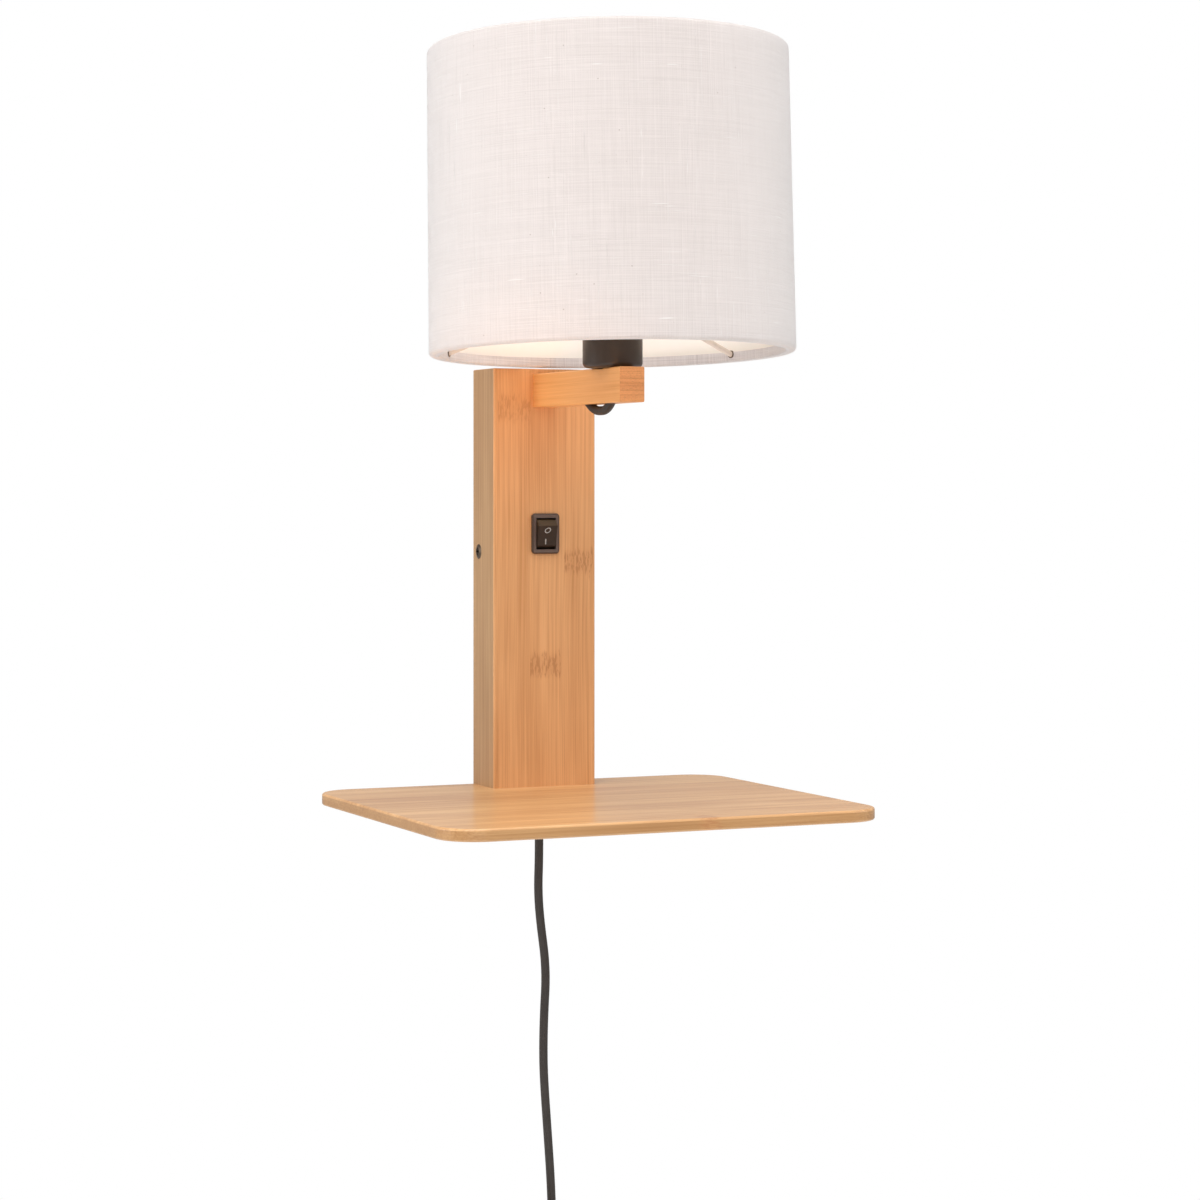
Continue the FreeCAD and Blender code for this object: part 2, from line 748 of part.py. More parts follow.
def make_switch_contact_bar():
    half_thickness = contact_bar_thickness / 2
    bar = switch_block(contact_bar_width / 2, contact_bar_depth - half_thickness,
                       contact_bar_depth + half_thickness,
                       -contact_bar_length / 2, contact_bar_length / 2)
    bar = bar.fuse(rod(0, in_switch(contact_bar_depth), switch_z + contact_button_place, AXIS_Y,
                       contact_button_radius, half_thickness + contact_button_height))
    pin_half = contact_bar_width / 2 + slide_gap + contact_ear_thickness
    bar = bar.fuse(rod(-pin_half, in_switch(contact_bar_depth), switch_z, AXIS_X,
                       contact_bar_pin_radius, 2 * pin_half))
    return bar.rotated(Vector(0, in_switch(contact_bar_depth), switch_z), AXIS_X, -contact_bar_swing / 2)


def make_switch_terminals():
    ear_inner = contact_bar_width / 2 + slide_gap
    ear_outer = ear_inner + contact_ear_thickness
    half_blade = blade_width / 2
    half_thickness = blade_thickness / 2
    cradle = switch_block(ear_outer, terminal_plate_depth, switch_floor_depth,
                          -contact_ear_height / 2, contact_ear_height / 2)
    ears = switch_block(ear_outer, contact_bar_depth - 1.0, terminal_plate_depth,
                        -contact_ear_height / 2, contact_ear_height / 2)
    ears = ears.cut(switch_block(ear_inner, 0, switch_floor_depth, -contact_ear_height, contact_ear_height))
    cradle = cradle.fuse(ears)
    cradle = cradle.fuse(switch_block(half_blade, terminal_plate_depth, blade_end_depth,
                                      -half_thickness, half_thickness))
    cradle = cradle.cut(rod(-ear_outer - 1, in_switch(contact_bar_depth), switch_z, AXIS_X,
                            contact_bar_pin_radius + thread_gap, 2 * ear_outer + 2))
    plate_low = contact_ear_height / 2 + 0.8
    fixed = switch_block(half_blade, terminal_plate_depth, switch_floor_depth,
                         plate_low, blade_spacing + 1.2)
    fixed = fixed.fuse(rod(0, in_switch(contact_fixed_depth), switch_z + contact_button_place, AXIS_Y,
                           contact_button_radius, terminal_plate_depth - contact_fixed_depth + 0.2))
    fixed = fixed.fuse(switch_block(half_blade, terminal_plate_depth, blade_end_depth,
                                    blade_spacing - half_thickness, blade_spacing + half_thickness))
    return [cradle.removeSplitter(), fixed.removeSplitter()]


def connector_depth():
    return switch_floor_depth + switch_floor_thickness + slide_gap


def make_switch_connectors():
    connectors = []
    for place in blade_places:
        start = connector_depth()
        sleeve = switch_block(connector_width / 2, start, start + connector_length,
                              place - connector_height / 2, place + connector_height / 2)
        sleeve = sleeve.makeFillet(0.8, edges_along(sleeve, AXIS_Y))
        slot = switch_block(blade_width / 2 + seat_gap, start - 1, blade_end_depth + slide_gap,
                            place - blade_thickness / 2 - thread_gap,
                            place + blade_thickness / 2 + thread_gap)
        connectors.append(sleeve.cut(slot))
    return connectors


# ---- cord grip and terminal block inside the post ------------------------------------------------------

def grip_screw_places():
    return [cord_exit_x + side * grip_screw_spacing / 2 for side in (-1, 1)]


def grip_middle():
    return cavity_bottom + grip_above_base + grip_height / 2


def block_middle():
    return block_bottom + block_height / 2


def inner_screw_holes():
    grip_depth = grip_screw_length - (grip_top_face() - cavity_front) + slide_gap
    fixing_depth = block_screw_reach() + slide_gap
    holes = [(x, grip_middle(), grip_screw_radius, grip_depth) for x in grip_screw_places()]
    holes.append((cord_exit_x, block_middle(), block_fixing_radius, fixing_depth))
    return holes


def grip_top_face():
    return cord_exit_y + lead_radius + grip_plate - 1.0


def grip_plate_between(y_low, y_high):
    low = cavity_bottom + grip_above_base
    plate = block(cord_exit_x - grip_width / 2, cord_exit_x + grip_width / 2, y_low, y_high,
                  low, low + grip_height)
    plate = plate.makeFillet(1.5, edges_along(plate, AXIS_Y))
    plate = plate.cut(rod(cord_exit_x, cord_exit_y, low - 1, AXIS_Z, lead_radius + thread_gap,
                          grip_height + 2))
    for x in grip_screw_places():
        plate = plate.cut(rod(x, y_low - 1, grip_middle(), AXIS_Y,
                              grip_screw_radius + seat_gap, y_high - y_low + 2))
    return plate


def make_cord_grip_base():
    return grip_plate_between(cavity_front, cord_exit_y - slide_gap)


def make_cord_grip_saddle():
    return grip_plate_between(cord_exit_y + slide_gap, grip_top_face())


def make_grip_screws():
    return [flat_head_screw(x, grip_top_face(), grip_middle(), AXIS_Y * -1, grip_screw_radius,
                            grip_screw_head_radius, grip_screw_head_height, grip_screw_length)
            for x in grip_screw_places()]


def pole_places():
    return [cord_exit_x + side * block_pole_spacing / 2 for side in (-1, 1)]


def block_screw_heights():
    return [block_middle() + side * block_screw_spacing / 2 for side in (-1, 1)]


def make_terminal_block():
    back = cavity_front + block_depth
    low = block_bottom
    high = block_bottom + block_height
    body = block(cord_exit_x - block_width / 2, cord_exit_x + block_width / 2,
                 cavity_front, back, low, high)
    body = body.makeFillet(1.5, edges_along(body, AXIS_Z))
    waist = rod(cord_exit_x, back + 1.0, low - 1, AXIS_Z, 3.2, block_height + 2)
    body = body.cut(waist)
    for x in pole_places():
        body = body.cut(rod(x, cord_exit_y, low - 1, AXIS_Z, block_pole_radius, block_height + 2))
        for z in block_screw_heights():
            body = body.cut(rod(x, cord_exit_y, z, AXIS_Y, block_screw_radius + slide_gap, block_depth))
    body = body.cut(rod(cord_exit_x, cavity_front - 1, block_middle(), AXIS_Y,
                        block_fixing_radius + seat_gap, block_depth + 2))
    head_room = block_fixing_head_radius + slide_gap
    return body.cut(rod(cord_exit_x, block_screw_seat(), block_middle(), AXIS_Y, head_room, block_depth))


def make_terminal_inserts():
    inserts = []
    for x in pole_places():
        insert = pipe(x, cord_exit_y, block_bottom + 1.0, AXIS_Z, block_insert_radius,
                      block_bore_radius, block_height - 2.0)
        for z in block_screw_heights():
            insert = insert.cut(rod(x, cord_exit_y, z, AXIS_Y, block_screw_radius + thread_gap,
                                    block_depth))
        inserts.append(insert)
    return inserts


def make_terminal_screws():
    tip = cord_exit_y + core_radius + seat_gap
    return [rod(x, tip, z, AXIS_Y, block_screw_radius, block_screw_length)
            for x in pole_places() for z in block_screw_heights()]


def block_screw_seat():
    return cavity_front + block_depth - block_fixing_head_height - block_fixing_sink


def block_screw_reach():
    return block_fixing_length - (block_screw_seat() - cavity_front)


def make_block_screw():
    return flat_head_screw(cord_exit_x, block_screw_seat(), block_middle(), AXIS_Y * -1,
                           block_fixing_radius, block_fixing_head_radius,
                           block_fixing_head_height, block_fixing_length)


# ---- leads ------------------------------------------------------------------------------------------------

def make_mains_lead_end():
    return rod(cord_exit_x, cord_exit_y, gland_tip, AXIS_Z, lead_radius, sheath_end - gland_tip)


def make_supply_cores():
    cores = []
    for side, pole in zip((-1, 1), pole_places()):
        x = cord_exit_x + side * core_spacing / 2
        cores.append(tube([(x, cord_exit_y, sheath_end), (x, cord_exit_y, sheath_end + core_bend),
                           (pole, cord_exit_y, block_bottom - core_bend),
                           (pole, cord_exit_y, block_bottom + core_insertion)], core_radius, core_bend))
    return cores


def make_switch_cores():
    # live core: block to the centre blade; switched core: upper blade to the arm; neutral: block to the arm
    block_top = block_bottom + block_height
    live_x, neutral_x = pole_places()
    blade_y = in_switch(connector_depth() + connector_length / 2)
    reach = connector_width / 2
    centre_z = switch_z + blade_places[0]
    upper_z = switch_z + blade_places[1]
    arm_end_y = arm_lead_points()[0][1]
    half_pair = core_spacing / 2
    start_z = block_top - core_insertion
    turn_z = block_top + core_straight
    fan_z = block_top + core_fan_height
    live = tube([(live_x, cord_exit_y, start_z), (live_x, cord_exit_y, turn_z),
                 (-core_side_run, blade_y, fan_z), (-core_side_run, blade_y, centre_z),
                 (-reach, blade_y, centre_z)], core_radius, core_bend)
    switched = tube([(reach, blade_y, upper_z), (core_side_run, blade_y, upper_z),
                     (core_side_run, blade_y, switched_turn_low),
                     (half_pair, core_back_run, switched_turn_high), (half_pair, core_back_run, arm_middle),
                     (half_pair, arm_end_y, arm_middle)], core_radius, core_bend)
    neutral = tube([(neutral_x, cord_exit_y, start_z), (neutral_x, cord_exit_y, turn_z),
                    (core_outer_run, core_front_run, fan_z), (core_outer_run, core_front_run, core_cross_low),
                    (core_crossed, core_front_run, core_cross_high),
                    (core_crossed, core_turn_run, neutral_turn_low),
                    (-half_pair, core_back_run, neutral_turn_high), (-half_pair, core_back_run, arm_middle),
                    (-half_pair, arm_end_y, arm_middle)], core_radius, core_bend)
    return [live, switched, neutral]


def make_arm_lead():
    path, radii = rounded_path(arm_lead_points())
    lead = tube_on(path, lead_radius)
    report_tube("arm lead", path, lead, lead_radius)
    return lead


# ---- lampholder ----------------------------------------------------------------------------------------------

def make_nipple():
    bottom = arm_bottom + nipple_bottom_above_arm
    top = holder_base + nipple_top_above_holder_base
    return pipe(0, holder_axis_y, bottom, AXIS_Z, nipple_radius, nipple_bore_radius, top - bottom)


def make_holder_cap():
    inner = holder_radius - holder_cap_wall
    cap = rod(0, holder_axis_y, holder_base, AXIS_Z, holder_radius, holder_cap_height)
    cap = cap.makeFillet(holder_cap_edge_radius, face_edges(cap, "z", holder_base))
    cap = cap.cut(rod(0, holder_axis_y, holder_base + holder_cap_floor, AXIS_Z, inner, holder_cap_height))
    cap = cap.fuse(rod(0, holder_axis_y, holder_base, AXIS_Z, holder_neck_radius, holder_neck_height))
    return cap.cut(rod(0, holder_axis_y, holder_base - 1, AXIS_Z, nipple_radius + thread_gap,
                       holder_cap_height))


def make_holder_shell():
    # skirt screwed into the cap, collar on its rim, outer thread for the shade rings, socket for the bulb
    skirt_radius = holder_radius - holder_cap_wall - 2 * seat_gap
    skirt_bottom = holder_cap_top - holder_skirt_length
    core_room = holder_core_radius + seat_gap
    profile = [
        (core_room, skirt_bottom),
        (skirt_radius, skirt_bottom),
        (skirt_radius, holder_cap_top),
        (holder_radius, holder_cap_top),
        (holder_radius, holder_thread_base),
        (holder_thread_radius, holder_thread_base),
        (holder_thread_radius, holder_top),
        (holder_mouth_radius, holder_top),
        (holder_mouth_radius, holder_socket_top),
        (holder_socket_radius, holder_socket_top),
        (holder_socket_radius, holder_socket_bottom),
        (core_room, holder_socket_bottom),
    ]
    return spin(profile, 0, holder_axis_y)


def holder_terminal_places():
    return [side * holder_terminal_spacing / 2 for side in (-1, 1)]


def make_holder_core():
    core = rod(0, holder_axis_y, holder_core_bottom, AXIS_Z, holder_core_radius, holder_core_height)
    for x in holder_terminal_places():
        core = core.cut(rod(x, holder_axis_y, holder_core_bottom - 1, AXIS_Z, holder_terminal_bore,
                            holder_terminal_depth + 1))
        core = core.cut(rod(x, holder_axis_y - holder_screw_offset, holder_core_bottom - 1, AXIS_Z,
                            holder_screw_radius + thread_gap, holder_screw_length + 1))
    return core


def make_holder_screws():
    return [flat_head_screw(x, holder_axis_y - holder_screw_offset, holder_core_bottom, AXIS_Z,
                            holder_screw_radius, holder_screw_head_radius, holder_screw_head_height,
                            holder_screw_length - seat_gap)
            for x in holder_terminal_places()]


def make_holder_contacts():
    # centre spring under the bulb's tip, and side spring against its threaded cap
    floor = holder_core_top
    half = contact_strip_width / 2
    centre = block(-half, half, holder_axis_y - 9.0, holder_axis_y + 2.4, floor, floor + contact_strip_thickness)
    side = block(-half, half, holder_axis_y + 3.4, holder_axis_y + 9.0, floor, floor + contact_strip_thickness)
    centre = centre.cut(pipe(0, holder_axis_y, floor - 1, AXIS_Z, 20, holder_socket_radius + 2.8, 4))
    return [centre, side.common(rod(0, holder_axis_y, floor - 1, AXIS_Z, holder_core_radius, 4))]


def make_holder_cores():
    start_z = arm_lead_points()[-1][2]
    cores = []
    for side, x in zip((-1, 1), holder_terminal_places()):
        near = side * core_spacing / 2
        cores.append(tube([(near, holder_axis_y, start_z), (near, holder_axis_y, start_z + 2.0),
                           (x, holder_axis_y, holder_core_bottom - 1.6),
                           (x, holder_axis_y, holder_core_bottom + 4.0)], core_radius, core_bend))
    return cores


# ---- bulb ------------------------------------------------------------------------------------------------------

def bulb_foot():
    return holder_core_top + contact_strip_thickness + thread_gap


def bulb_outline(inset):
    centre_z = bulb_foot() + bulb_length - bulb_radius
    radius = bulb_radius - inset
    neck = bulb_neck_radius - inset
    neck_bottom = bulb_foot() + bulb_tip_height + bulb_foot_height + bulb_base_length
    join = math.sqrt(radius ** 2 - (neck + 6.0) ** 2)

    def at(distance, z):
        return Vector(distance, holder_axis_y, z)

    shoulder = at(neck + 6.0, centre_z - join)
    middle_angle = math.radians(10)
    middle = at(radius * math.cos(middle_angle), centre_z + radius * math.sin(middle_angle))
    edges = [
        Part.LineSegment(at(0, neck_bottom), at(neck, neck_bottom)).toShape(),
        Part.LineSegment(at(neck, neck_bottom), at(neck, neck_bottom + 4.0)).toShape(),
        Part.LineSegment(at(neck, neck_bottom + 4.0), shoulder).toShape(),
        Part.Arc(shoulder, middle, at(0, centre_z + radius)).toShape(),
        Part.LineSegment(at(0, centre_z + radius), at(0, neck_bottom)).toShape(),
    ]
    face = Part.Face(Part.Wire(edges))
    return face.revolve(Vector(0, holder_axis_y, 0), AXIS_Z, 360)


def make_bulb_glass():
    return bulb_outline(0).cut(bulb_outline(bulb_wall))


def make_bulb_base():
    bottom = bulb_foot() + bulb_tip_height + bulb_foot_height
    return rod(0, holder_axis_y, bottom, AXIS_Z, bulb_base_radius, bulb_base_length)


def make_bulb_foot():
    bottom = bulb_foot() + bulb_tip_height
    return cone(0, holder_axis_y, bottom, AXIS_Z, bulb_tip_radius + 0.6, bulb_base_radius - 0.8,
                bulb_foot_height)


def make_bulb_tip():
    return cone(0, holder_axis_y, bulb_foot(), AXIS_Z, bulb_tip_radius * 0.7, bulb_tip_radius,
                bulb_tip_height)


# ---- shade ------------------------------------------------------------------------------------------------------

def tilted(shape):
    # the whole drum leans towards the wall about the middle of its lower rim
    shape.rotate(Vector(0, holder_axis_y, shade_bottom), AXIS_X, -shade_tilt)
    return shape


def tapered_drum(inset, low, high):
    radii = [shade_bottom_radius + (shade_top_radius - shade_bottom_radius) * (height - shade_bottom) / shade_height
             - inset for height in (low, high)]
    return Part.makeCone(radii[0], radii[1], high - low, Vector(0, holder_axis_y, low))


def hem_ring(height, outer, inner, thickness):
    return pipe(0, holder_axis_y, height, AXIS_Z, outer, inner, thickness)


def make_shade_fabric():
    # one wall turned in over the wire rings at both rims, with a notch in the lower hem for each spoke
    wall = tapered_drum(0, shade_bottom, shade_top)
    wall = wall.cut(tapered_drum(shade_fabric_thickness, shade_bottom, shade_top))
    thickness = shade_fabric_thickness
    bottom_inner = shade_bottom_radius - thickness - shade_hem_width
    top_inner = shade_top_radius - thickness - shade_hem_width
    overlap = thickness / 2
    pieces = [
        hem_ring(shade_bottom, shade_bottom_radius - overlap, bottom_inner, thickness),
        hem_ring(shade_bottom, bottom_inner + thickness, bottom_inner, shade_hem_height),
        hem_ring(shade_top - thickness, shade_top_radius - overlap, top_inner, thickness),
        hem_ring(shade_top - shade_hem_height, top_inner + thickness, top_inner, shade_hem_height),
    ]
    for piece in pieces:
        wall = wall.fuse(piece)
    wall = tilted(wall)
    notch_zone = tilted(hem_ring(shade_bottom, bottom_inner + shade_notch_reach, bottom_inner - shade_notch_reach,
                                 shade_hem_height * 2))
    for spoke in spider_spokes(shade_wire_radius + slide_gap, shade_notch_overrun):
        wall = wall.cut(spoke.common(notch_zone))
    return wall


def make_shade_liner():
    outer = shade_fabric_thickness + shade_liner_gap
    low = shade_bottom + shade_fabric_thickness + seat_gap
    high = shade_top - shade_fabric_thickness - seat_gap
    liner = tapered_drum(outer, low, high)
    return tilted(liner.cut(tapered_drum(outer + shade_liner_thickness, low, high)))


def wire_ring(radius, height):
    return tilted(Part.makeTorus(radius, shade_wire_radius, Vector(0, holder_axis_y, height), AXIS_Z))


def make_shade_top_ring():
    return wire_ring(top_ring_radius, shade_top - ring_inset)


def spider_spokes(radius, extra):
    hub_height = (spider_hub_bottom + spider_hub_top) / 2
    ring_height = shade_bottom + ring_inset + shade_wire_radius * 0.5
    spokes = []
    for number in range(spider_spoke_count):
        angle = math.radians(spider_first_spoke + 360.0 * number / spider_spoke_count)
        outward = Vector(math.sin(angle), math.cos(angle), 0)
        start = Vector(0, holder_axis_y, hub_height).add(outward * spider_spoke_start)
        rim_place = Part.Vertex(Vector(0, holder_axis_y, ring_height).add(outward * bottom_ring_radius))
        slope = tilted(rim_place).Point.sub(start)
        spokes.append(Part.makeCylinder(radius, slope.Length + extra, start, slope))
    return spokes


def make_shade_spider():
    # level hub on the lampholder, spokes down to the wire ring in the lower hem
    spider = pipe(0, holder_axis_y, spider_hub_bottom, AXIS_Z, spider_hub_radius, spider_hub_bore,
                  spider_hub_thickness)
    spider = spider.fuse(wire_ring(bottom_ring_radius, shade_bottom + ring_inset))
    for spoke in spider_spokes(shade_wire_radius, 0):
        spider = spider.fuse(spoke)
    return spider


def shade_ring(bottom):
    ring = pipe(0, holder_axis_y, bottom, AXIS_Z, shade_ring_radius, holder_thread_radius + seat_gap,
                shade_ring_height)
    for number in range(shade_ring_grooves):
        angle = 2 * math.pi * number / shade_ring_grooves
        x = shade_ring_radius * math.sin(angle)
        y = holder_axis_y + shade_ring_radius * math.cos(angle)
        ring = ring.cut(rod(x, y, bottom, AXIS_Z, shade_ring_groove_radius, shade_ring_height))
    return ring


def make_shade_rings():
    return [shade_ring(spider_hub_bottom - shade_ring_height), shade_ring(spider_hub_top)]


# ---- strain relief, mains cord, coil and plug ------------------------------------------------------------------

def make_cord_gland():
    taper_top = gland_top - gland_collar_height
    gland = cone(cord_exit_x, cord_exit_y, taper_top, AXIS_Z * -1, gland_root_radius, gland_tip_radius,
                 gland_length)
    gland = gland.fuse(rod(cord_exit_x, cord_exit_y, taper_top, AXIS_Z, gland_collar_radius,
                           gland_collar_height))
    gland = gland.fuse(rod(cord_exit_x, cord_exit_y, gland_top, AXIS_Z, gland_shank_radius,
                           gland_shank_length))
    bore_length = gland_length + gland_collar_height + gland_shank_length + 2
    return gland.cut(rod(cord_exit_x, cord_exit_y, gland_tip - 1, AXIS_Z, lead_radius + thread_gap,
                         bore_length))


def make_mains_cord():
    path, radii = rounded_path(cord_route)
    cord = tube_on(path, cord_radius)
    print("mains cord arc radii: " + ", ".join("%.0f" % radius for radius in radii))
    report_tube("mains cord", path, cord, cord_radius)
    return cord


def coil_centre():
    x, y, z = cord_route[-1]
    return Vector(x - coil_outer, y, z - coil_lead_in)


def coil_total_turns():
    return coil_layers * coil_turns_per_layer


def coil_place(turns):
    # spirals in and out at a steady rate; a layer is climbed in the half turn round each reversal
    layer = turns / coil_turns_per_layer
    phase = layer % 2
    inward = phase if phase <= 1 else 2 - phase
    radius = coil_outer + (coil_inner - coil_outer) * inward
    climbed = 0.0
    for reversal in range(1, coil_layers):
        share = (turns - reversal * coil_turns_per_layer) / 0.5 + 0.5
        share = max(0.0, min(1.0, share))
        climbed += coil_pitch * share * share * (3 - 2 * share)
    angle = 2 * math.pi * turns
    centre = coil_centre()
    return Vector(centre.x + radius * math.cos(angle), centre.y - climbed,
                  centre.z - radius * math.sin(angle))


def coil_heading(turns):
    step = 0.002
    if turns <= step or turns >= coil_total_turns() - step:
        return Vector(0, 0, -1)
    return coil_place(turns + step).sub(coil_place(turns - step)).normalize()


def two_arcs(start, start_heading, end, end_heading):
    # a pair of arcs that meet smoothly and leave both ends along their headings
    chord = end.sub(start)
    total = start_heading.add(end_heading)
    along = chord.dot(total)
    spread = 2 * (1 - start_heading.dot(end_heading))
    reach = (-along + math.sqrt(along ** 2 + spread * chord.dot(chord))) / spread
    first_corner = start.add(start_heading * reach)
    second_corner = end.sub(end_heading * reach)
    joint = first_corner.add(second_corner) * 0.5
    arcs = []
    for corner, low, high in ((first_corner, start, joint), (second_corner, joint, end)):
        middle_chord = low.add(high) * 0.5
        half_turn = low.sub(corner).negative().getAngle(high.sub(corner)) / 2
        rise = low.distanceToPoint(high) / 2 * math.tan(half_turn / 2)
        toward = corner.sub(middle_chord).normalize()
        arcs.append(Part.Arc(low, middle_chord.add(toward * rise), high).toShape())
    return arcs


def coil_path():
    steps = int(coil_total_turns() * 4)
    places = [coil_place(step / 4) for step in range(steps + 1)]
    headings = [coil_heading(step / 4) for step in range(steps + 1)]
    lead_in = places[0].add(Vector(0, 0, coil_lead_in))
    lead_out = places[-1].sub(Vector(0, 0, coil_lead_in))
    edges = [Part.LineSegment(lead_in, places[0]).toShape()]
    for index in range(steps):
        edges += two_arcs(places[index], headings[index], places[index + 1], headings[index + 1])
    edges.append(Part.LineSegment(places[-1], lead_out).toShape())
    return Part.Wire(edges)


def coil_least_gap():
    per_turn = 40
    count = int(coil_total_turns() * per_turn)
    places = [coil_place(index / per_turn) for index in range(count + 1)]
    least = min(places[first].distanceToPoint(places[second])
                for first in range(count + 1)
                for second in range(first + per_turn // 2, count + 1))
    return least - 2 * cord_radius


def make_cord_coil():
    path = coil_path()
    coil = tube_on(path, cord_radius)
    report_tube("cord coil", path, coil, cord_radius)
    print("cord coil: least gap to itself %.2f" % coil_least_gap())
    return coil


def make_cord_tie():
    # a strap round all the turns on the side away from the cord
    centre = coil_centre()
    room = cord_radius + slide_gap
    half_turn_radius = coil_outer - (coil_outer - coil_inner) * 0.5 / coil_turns_per_layer
    x_low = centre.x - half_turn_radius - room
    x_high = centre.x - coil_inner + room
    y_low = centre.y - coil_pitch * (coil_layers - 1) - room
    y_high = centre.y + room
    low = centre.z - tie_width / 2
    high = centre.z + tie_width / 2
    band = tie_thickness
    outer = block(x_low - band, x_high + band, y_low - band, y_high + band, low, high)
    outer = outer.makeFillet(tie_corner_radius + band, edges_along(outer, AXIS_Z))
    inner = block(x_low, x_high, y_low, y_high, low - 1, high + 1)
    inner = inner.makeFillet(tie_corner_radius, edges_along(inner, AXIS_Z))
    return outer.cut(inner)


def plug_start():
    return coil_place(coil_total_turns()).sub(Vector(0, 0, coil_lead_in))


def make_plug_relief():
    place = plug_start()
    return cone(place.x, place.y, place.z, AXIS_Z * -1, relief_start_radius, relief_end_radius,
                relief_length)


def make_plug_body():
    place = plug_start()
    top = place.z - relief_length
    shoulder = top - plug_shoulder
    bottom = top - plug_length
    half_tail = plug_tail_width / 2
    half_front = plug_front_width / 2
    back = place.y - plug_thickness / 2
    outline = [(-half_tail, top), (half_tail, top), (half_front, shoulder), (half_front, bottom),
               (-half_front, bottom), (-half_front, shoulder)]
    body = extrude_profile([(place.x + x, back, z) for x, z in outline], AXIS_Y * plug_thickness)
    body = body.makeFillet(plug_edge_radius, edges_along(body, AXIS_Y))
    rims = face_edges(body, "y", back) + face_edges(body, "y", back + plug_thickness)
    return body.makeFillet(plug_edge_radius * 0.8, rims)


def make_plug_pins():
    place = plug_start()
    top = place.z - relief_length - plug_length
    pins = []
    for side in (-1, 1):
        x = place.x + side * plug_pin_spacing / 2
        straight = plug_pin_length - plug_pin_tip
        pin = rod(x, place.y, top, AXIS_Z * -1, plug_pin_radius, straight)
        pin = pin.fuse(cone(x, place.y, top - straight, AXIS_Z * -1, plug_pin_radius,
                            plug_pin_radius * 0.5, plug_pin_tip))
        pins.append(pin)
    return pins


# ---- all pieces --------------------------------------------------------------------------------------------------

os.makedirs("parts", exist_ok=True)
save("post", [make_post()])
save("shelf", [make_shelf()])
save("arm", [make_arm()])
save("shelf_screws", make_shelf_screws())
save("arm_screws", make_arm_screws())
save("wall_bracket", [make_wall_bracket()])
save("side_screws", make_side_screws())
save("switch_housing", [make_switch_housing()])
save("switch_rocker", [make_switch_rocker()])
save("switch_plunger", [make_switch_plunger()])
save("switch_spring", [make_switch_spring()])
save("switch_contact_bar", [make_switch_contact_bar()])
save("switch_terminals", make_switch_terminals())
save("switch_connectors", make_switch_connectors())
save("cord_grip_base", [make_cord_grip_base()])
save("cord_grip_saddle", [make_cord_grip_saddle()])
save("grip_screws", make_grip_screws())
save("terminal_block", [make_terminal_block()])
save("terminal_inserts", make_terminal_inserts())
save("terminal_screws", make_terminal_screws())
save("block_screw", [make_block_screw()])
save("mains_lead_end", [make_mains_lead_end()])
save("supply_cores", make_supply_cores())
save("switch_cores", make_switch_cores())
save("arm_lead", [make_arm_lead()])
save("nipple", [make_nipple()])
save("lampholder_cap", [make_holder_cap()])
save("lampholder_shell", [make_holder_shell()])
save("lampholder_core", [make_holder_core()])
save("lampholder_screws", make_holder_screws())
save("lampholder_contacts", make_holder_contacts())
save("lampholder_cores", make_holder_cores())
save("bulb_glass", [make_bulb_glass()])
save("bulb_base", [make_bulb_base()])
save("bulb_foot", [make_bulb_foot()])
save("bulb_tip", [make_bulb_tip()])
save("shade_fabric", [make_shade_fabric()])
save("shade_liner", [make_shade_liner()])
save("shade_top_ring", [make_shade_top_ring()])
save("shade_spider", [make_shade_spider()])
save("shade_rings", make_shade_rings())
save("cord_gland", [make_cord_gland()])
save("mains_cord", [make_mains_cord()])
save("cord_coil", [make_cord_coil()])
save("cord_tie", [make_cord_tie()])
save("plug_relief", [make_plug_relief()])
save("plug_body", [make_plug_body()])
save("plug_pins", make_plug_pins())
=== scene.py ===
import math

import bpy
from mathutils import Matrix, Vector


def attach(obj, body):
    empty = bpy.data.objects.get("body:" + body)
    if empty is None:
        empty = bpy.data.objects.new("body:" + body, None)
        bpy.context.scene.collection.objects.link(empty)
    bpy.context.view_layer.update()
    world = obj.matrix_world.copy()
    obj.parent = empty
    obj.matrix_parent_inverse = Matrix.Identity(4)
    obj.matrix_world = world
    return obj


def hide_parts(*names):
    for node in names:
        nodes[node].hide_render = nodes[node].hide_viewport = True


# Wall lamp with shelf. Metres, wall plane at y = 0, lamp towards -y, z = 0 between the wall screws.

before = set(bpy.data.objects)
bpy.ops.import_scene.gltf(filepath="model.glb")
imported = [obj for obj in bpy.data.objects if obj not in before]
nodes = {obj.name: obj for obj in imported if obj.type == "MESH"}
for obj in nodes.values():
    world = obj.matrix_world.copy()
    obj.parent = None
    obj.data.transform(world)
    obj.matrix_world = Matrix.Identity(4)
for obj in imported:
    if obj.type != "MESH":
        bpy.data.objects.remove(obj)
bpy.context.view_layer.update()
mm = 0.001
fullTurn = 2 * math.pi
weldGap = 0.002 * mm                  # closer points of a turned piece become one


def say(text):
    print("[wall lamp] " + text)


def inMetres(points):
    return [Vector((x * mm, y * mm, z * mm)) for x, y, z in points]


def pickNone():
    if bpy.context.object and bpy.context.object.mode != "OBJECT":
        bpy.ops.object.mode_set(mode="OBJECT")
    bpy.ops.object.select_all(action="DESELECT")


def onlyPick(piece):
    pickNone()
    piece.select_set(True)
    bpy.context.view_layer.objects.active = piece


def named(name):
    piece = bpy.context.object
    piece.name = name
    piece.data.name = name
    return piece


def settle(piece):
    # the place goes into the mesh, the object stays at the origin
    onlyPick(piece)
    bpy.ops.object.transform_apply(location=True, rotation=True, scale=True)


def applyAll(piece):
    onlyPick(piece)
    for modifier in list(piece.modifiers):
        bpy.ops.object.modifier_apply(modifier=modifier.name)


